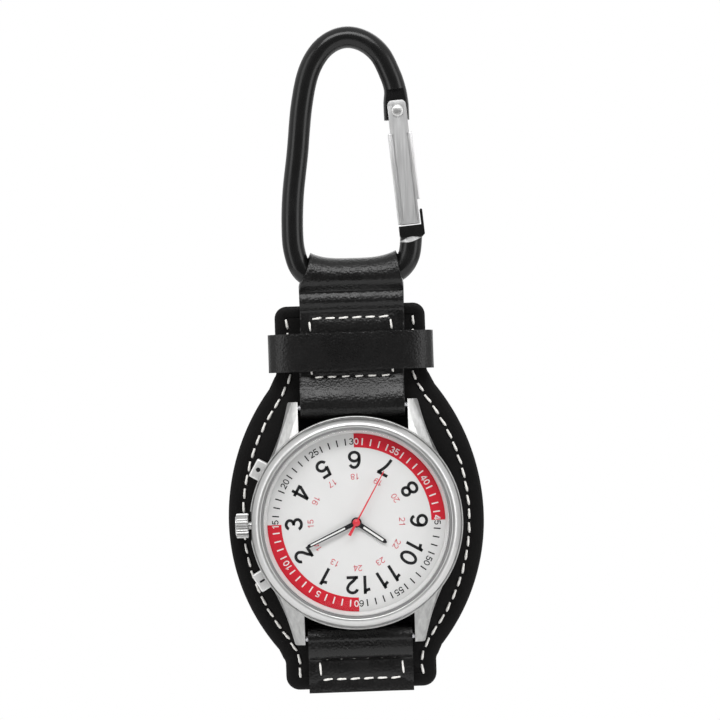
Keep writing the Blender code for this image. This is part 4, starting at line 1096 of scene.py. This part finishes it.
def make_lumed_hand(body, turn, low, black, lume, tip, root, end, hub, tube, slot_start):
    """A black hand on a tube of (outer, inner) radii, with an open frame filled by pale lume."""
    name, thick = body + "_hand", 0.15
    window = both_sides(turn, [(slot_start, root - 0.26), (tip - 0.75, end - 0.2)])
    outline = both_sides(turn, [(0.3, root), (tip - end * 1.2, end), (tip, 0.12)])
    blade = plate(name, outline, low, low + thick, holes=[window])
    disc = turned("hub", [(0, low - 0.02), (hub - 0.06, low - 0.02), (hub, low + 0.04), (hub, low + thick),
                          (0, low + thick)], steps=64)
    blade = bevelled(join(blade, disc), 0.03, 2, 40)
    outer, bore = tube
    end_y = DIAL_HIGH.y + 0.3
    blade = join(blade, rod("tube", outer, low + 0.1, end_y, steps=32))
    blade = cut(blade, rod("bore", bore, low - 1, end_y + 1, steps=32))
    piece(blade, body, black, "hand_black", name)
    fill = plate(name + "_lume", window, low + 0.03, low + thick - 0.01)
    piece(fill, body, lume, "dial_white")


def make_hands(black, red, lume):
    make_lumed_hand("hour", HOUR_TURN, HOUR_LOW.y, black, lume, tip=6.6, root=0.45, end=0.4,
                    hub=0.95, tube=(0.85, 0.68), slot_start=1.55)
    make_lumed_hand("minute", MINUTE_TURN, MINUTE_LOW.y, black, lume, tip=10.0, root=0.42, end=0.33,
                    hub=0.9, tube=(0.6, 0.43), slot_start=2.3)
    low, tail, turn = MINUTE_LOW.y - 0.45, 2.65, SECOND_TURN
    outline = both_sides(turn, [(-tail, 0.29), (-0.4, 0.2), (0.4, 0.15), (10.6, 0.09)])
    blade = plate("second_hand", outline, low, low + 0.15)
    boss = turned("boss", [(0, SECOND_LOW.y), (0.3, SECOND_LOW.y), (0.42, low - 0.05), (0.62, low - 0.03),
                           (0.68, low + 0.05), (0.68, low + 0.15), (0.33, low + 0.15), (0.33, -1.15),
                           (0, -1.15)], steps=64)
    piece(bevelled(join(blade, boss), 0.02, 2, 40), "second", red, "hand_red", "second_hand")


# ---------- kept CAD nodes

def paint_kept_nodes(materials):
    """Gives each CAD node that stays a material of its own kind."""
    kinds = {entry["node"]: entry["material_slot"] for entry in frame["record"]["subparts"]}
    for name, obj in NODES.items():
        if obj.hide_render:
            continue
        obj.data.materials.clear()
        obj.data.materials.append(materials[kinds[name]])


make_camera()
STEEL = metal("polished_steel", (0.56, 0.56, 0.555), 0.38, size=1.2, depth=0.0004, streak=0.03, mottle=0.06)
CASE = metal("brushed_case", (0.43, 0.43, 0.425), 0.36, (1, 1, 0.12),
             size=0.6, depth=0.0015, streak=0.06, mottle=0.32)
FROSTED = metal("frosted_steel", (0.72, 0.72, 0.715), 0.5, size=0.3, depth=0.001, streak=0.05, mottle=0.08)
SATIN = metal("satin_steel", (0.72, 0.72, 0.72), 0.42, (1, 1, 0.02),
              size=0.16, depth=0.0012, streak=0.06, mottle=0.15)
PLAIN = metal("plain_steel", (0.5, 0.5, 0.52), 0.28, (1, 0.2, 1), size=0.2, depth=0.003, streak=0.1)
BRASS = metal("brass", (0.72, 0.53, 0.26), 0.27, (0.15, 1, 1), size=0.15, depth=0.003, streak=0.1)
COPPER = metal("copper_winding", (0.66, 0.28, 0.14), 0.34, (0.2, 1, 1), size=0.12, depth=0.02, streak=0.1)
STRAP = leather("strap_leather", (0.0022, 0.0021, 0.0021), (0.0045, 0.0042, 0.0042),
                grain=0.42, depth=0.042, rough=0.31, specular=0.34)
PAD = leather("pad_leather", (0.003, 0.0028, 0.0028), (0.005, 0.0047, 0.0047),
              grain=0.3, depth=0.02, rough=0.5, specular=0.12)
BLACK_INK = lacquer("black_ink", (0.012, 0.012, 0.013), 0.5, Specular_IOR_Level=0.2)
WHITE_INK = lacquer("white_ink", (0.72, 0.7, 0.7), 0.5)
RED_INK = lacquer("red_ink", (0.55, 0.06, 0.08), 0.5)
RED_RING = lacquer("red_ring", (0.53, 0.016, 0.03), 0.45, Specular_IOR_Level=0.2)
DIAL_WHITE = lacquer("dial_white", (0.6, 0.6, 0.595), 0.45, 0.03)
REHAUT_WHITE = lacquer("rehaut_silver", (0.6, 0.6, 0.595), 0.4, 0.05)
LUME = lacquer("lume", (0.7, 0.71, 0.69), 0.6)
HAND_BLACK = lacquer("hand_black", (0.015, 0.015, 0.017), 0.25)
HAND_RED = lacquer("hand_red", (0.6, 0.03, 0.045), 0.3)
RUBBER = lacquer("black_rubber", (0.012, 0.012, 0.012), 0.6)
SEAL = lacquer("clear_seal", (0.2, 0.2, 0.2), 0.5)
PLASTIC = lacquer("white_plastic", (0.68, 0.67, 0.64), 0.5)
BOARD = lacquer("green_board", (0.02, 0.12, 0.05), 0.42)
HOOK = hook_material()
GLASS = glass_material()
THREAD = thread_material()

make_studio()
make_hook(HOOK)
make_gate(SATIN, STEEL)
make_pad("pad_front", PAD_FRONT, PAD_SPLIT, 0.5, 0.14, PAD, "pad_face")
make_pad("pad_back", PAD_SPLIT + 0.06, LINING_BACK, 0.4, 0.0, PAD, "pad_lining")
make_upper_strap(STRAP)
make_lower_strap(STRAP)
make_keeper(STRAP)
make_stitching(THREAD)
make_case(CASE)
make_bezel(STEEL, SEAL, GLASS, REHAUT_WHITE)
make_crown(STEEL)
# the black ink also fills the pushers' dimple and slot as painted shade
for pusher, side in (("upper_pusher", 1), ("lower_pusher", -1)):
    make_pusher(pusher, side, FROSTED, BLACK_INK)
make_dial(DIAL_WHITE, RED_RING, BLACK_INK, WHITE_INK, RED_INK)
make_hands(HAND_BLACK, HAND_RED, LUME)
paint_kept_nodes({"black_metal": HOOK, "satin_steel": SATIN, "polished_steel": STEEL, "spring_steel": PLAIN,
                  "pad_leather": PAD, "strap_leather": STRAP, "glass": GLASS, "black_rubber": RUBBER,
                  "dial_white": DIAL_WHITE, "rehaut_white": REHAUT_WHITE, "hand_black": HAND_BLACK,
                  "hand_red": HAND_RED, "white_plastic": PLASTIC, "brass": BRASS, "copper": COPPER,
                  "green_board": BOARD})
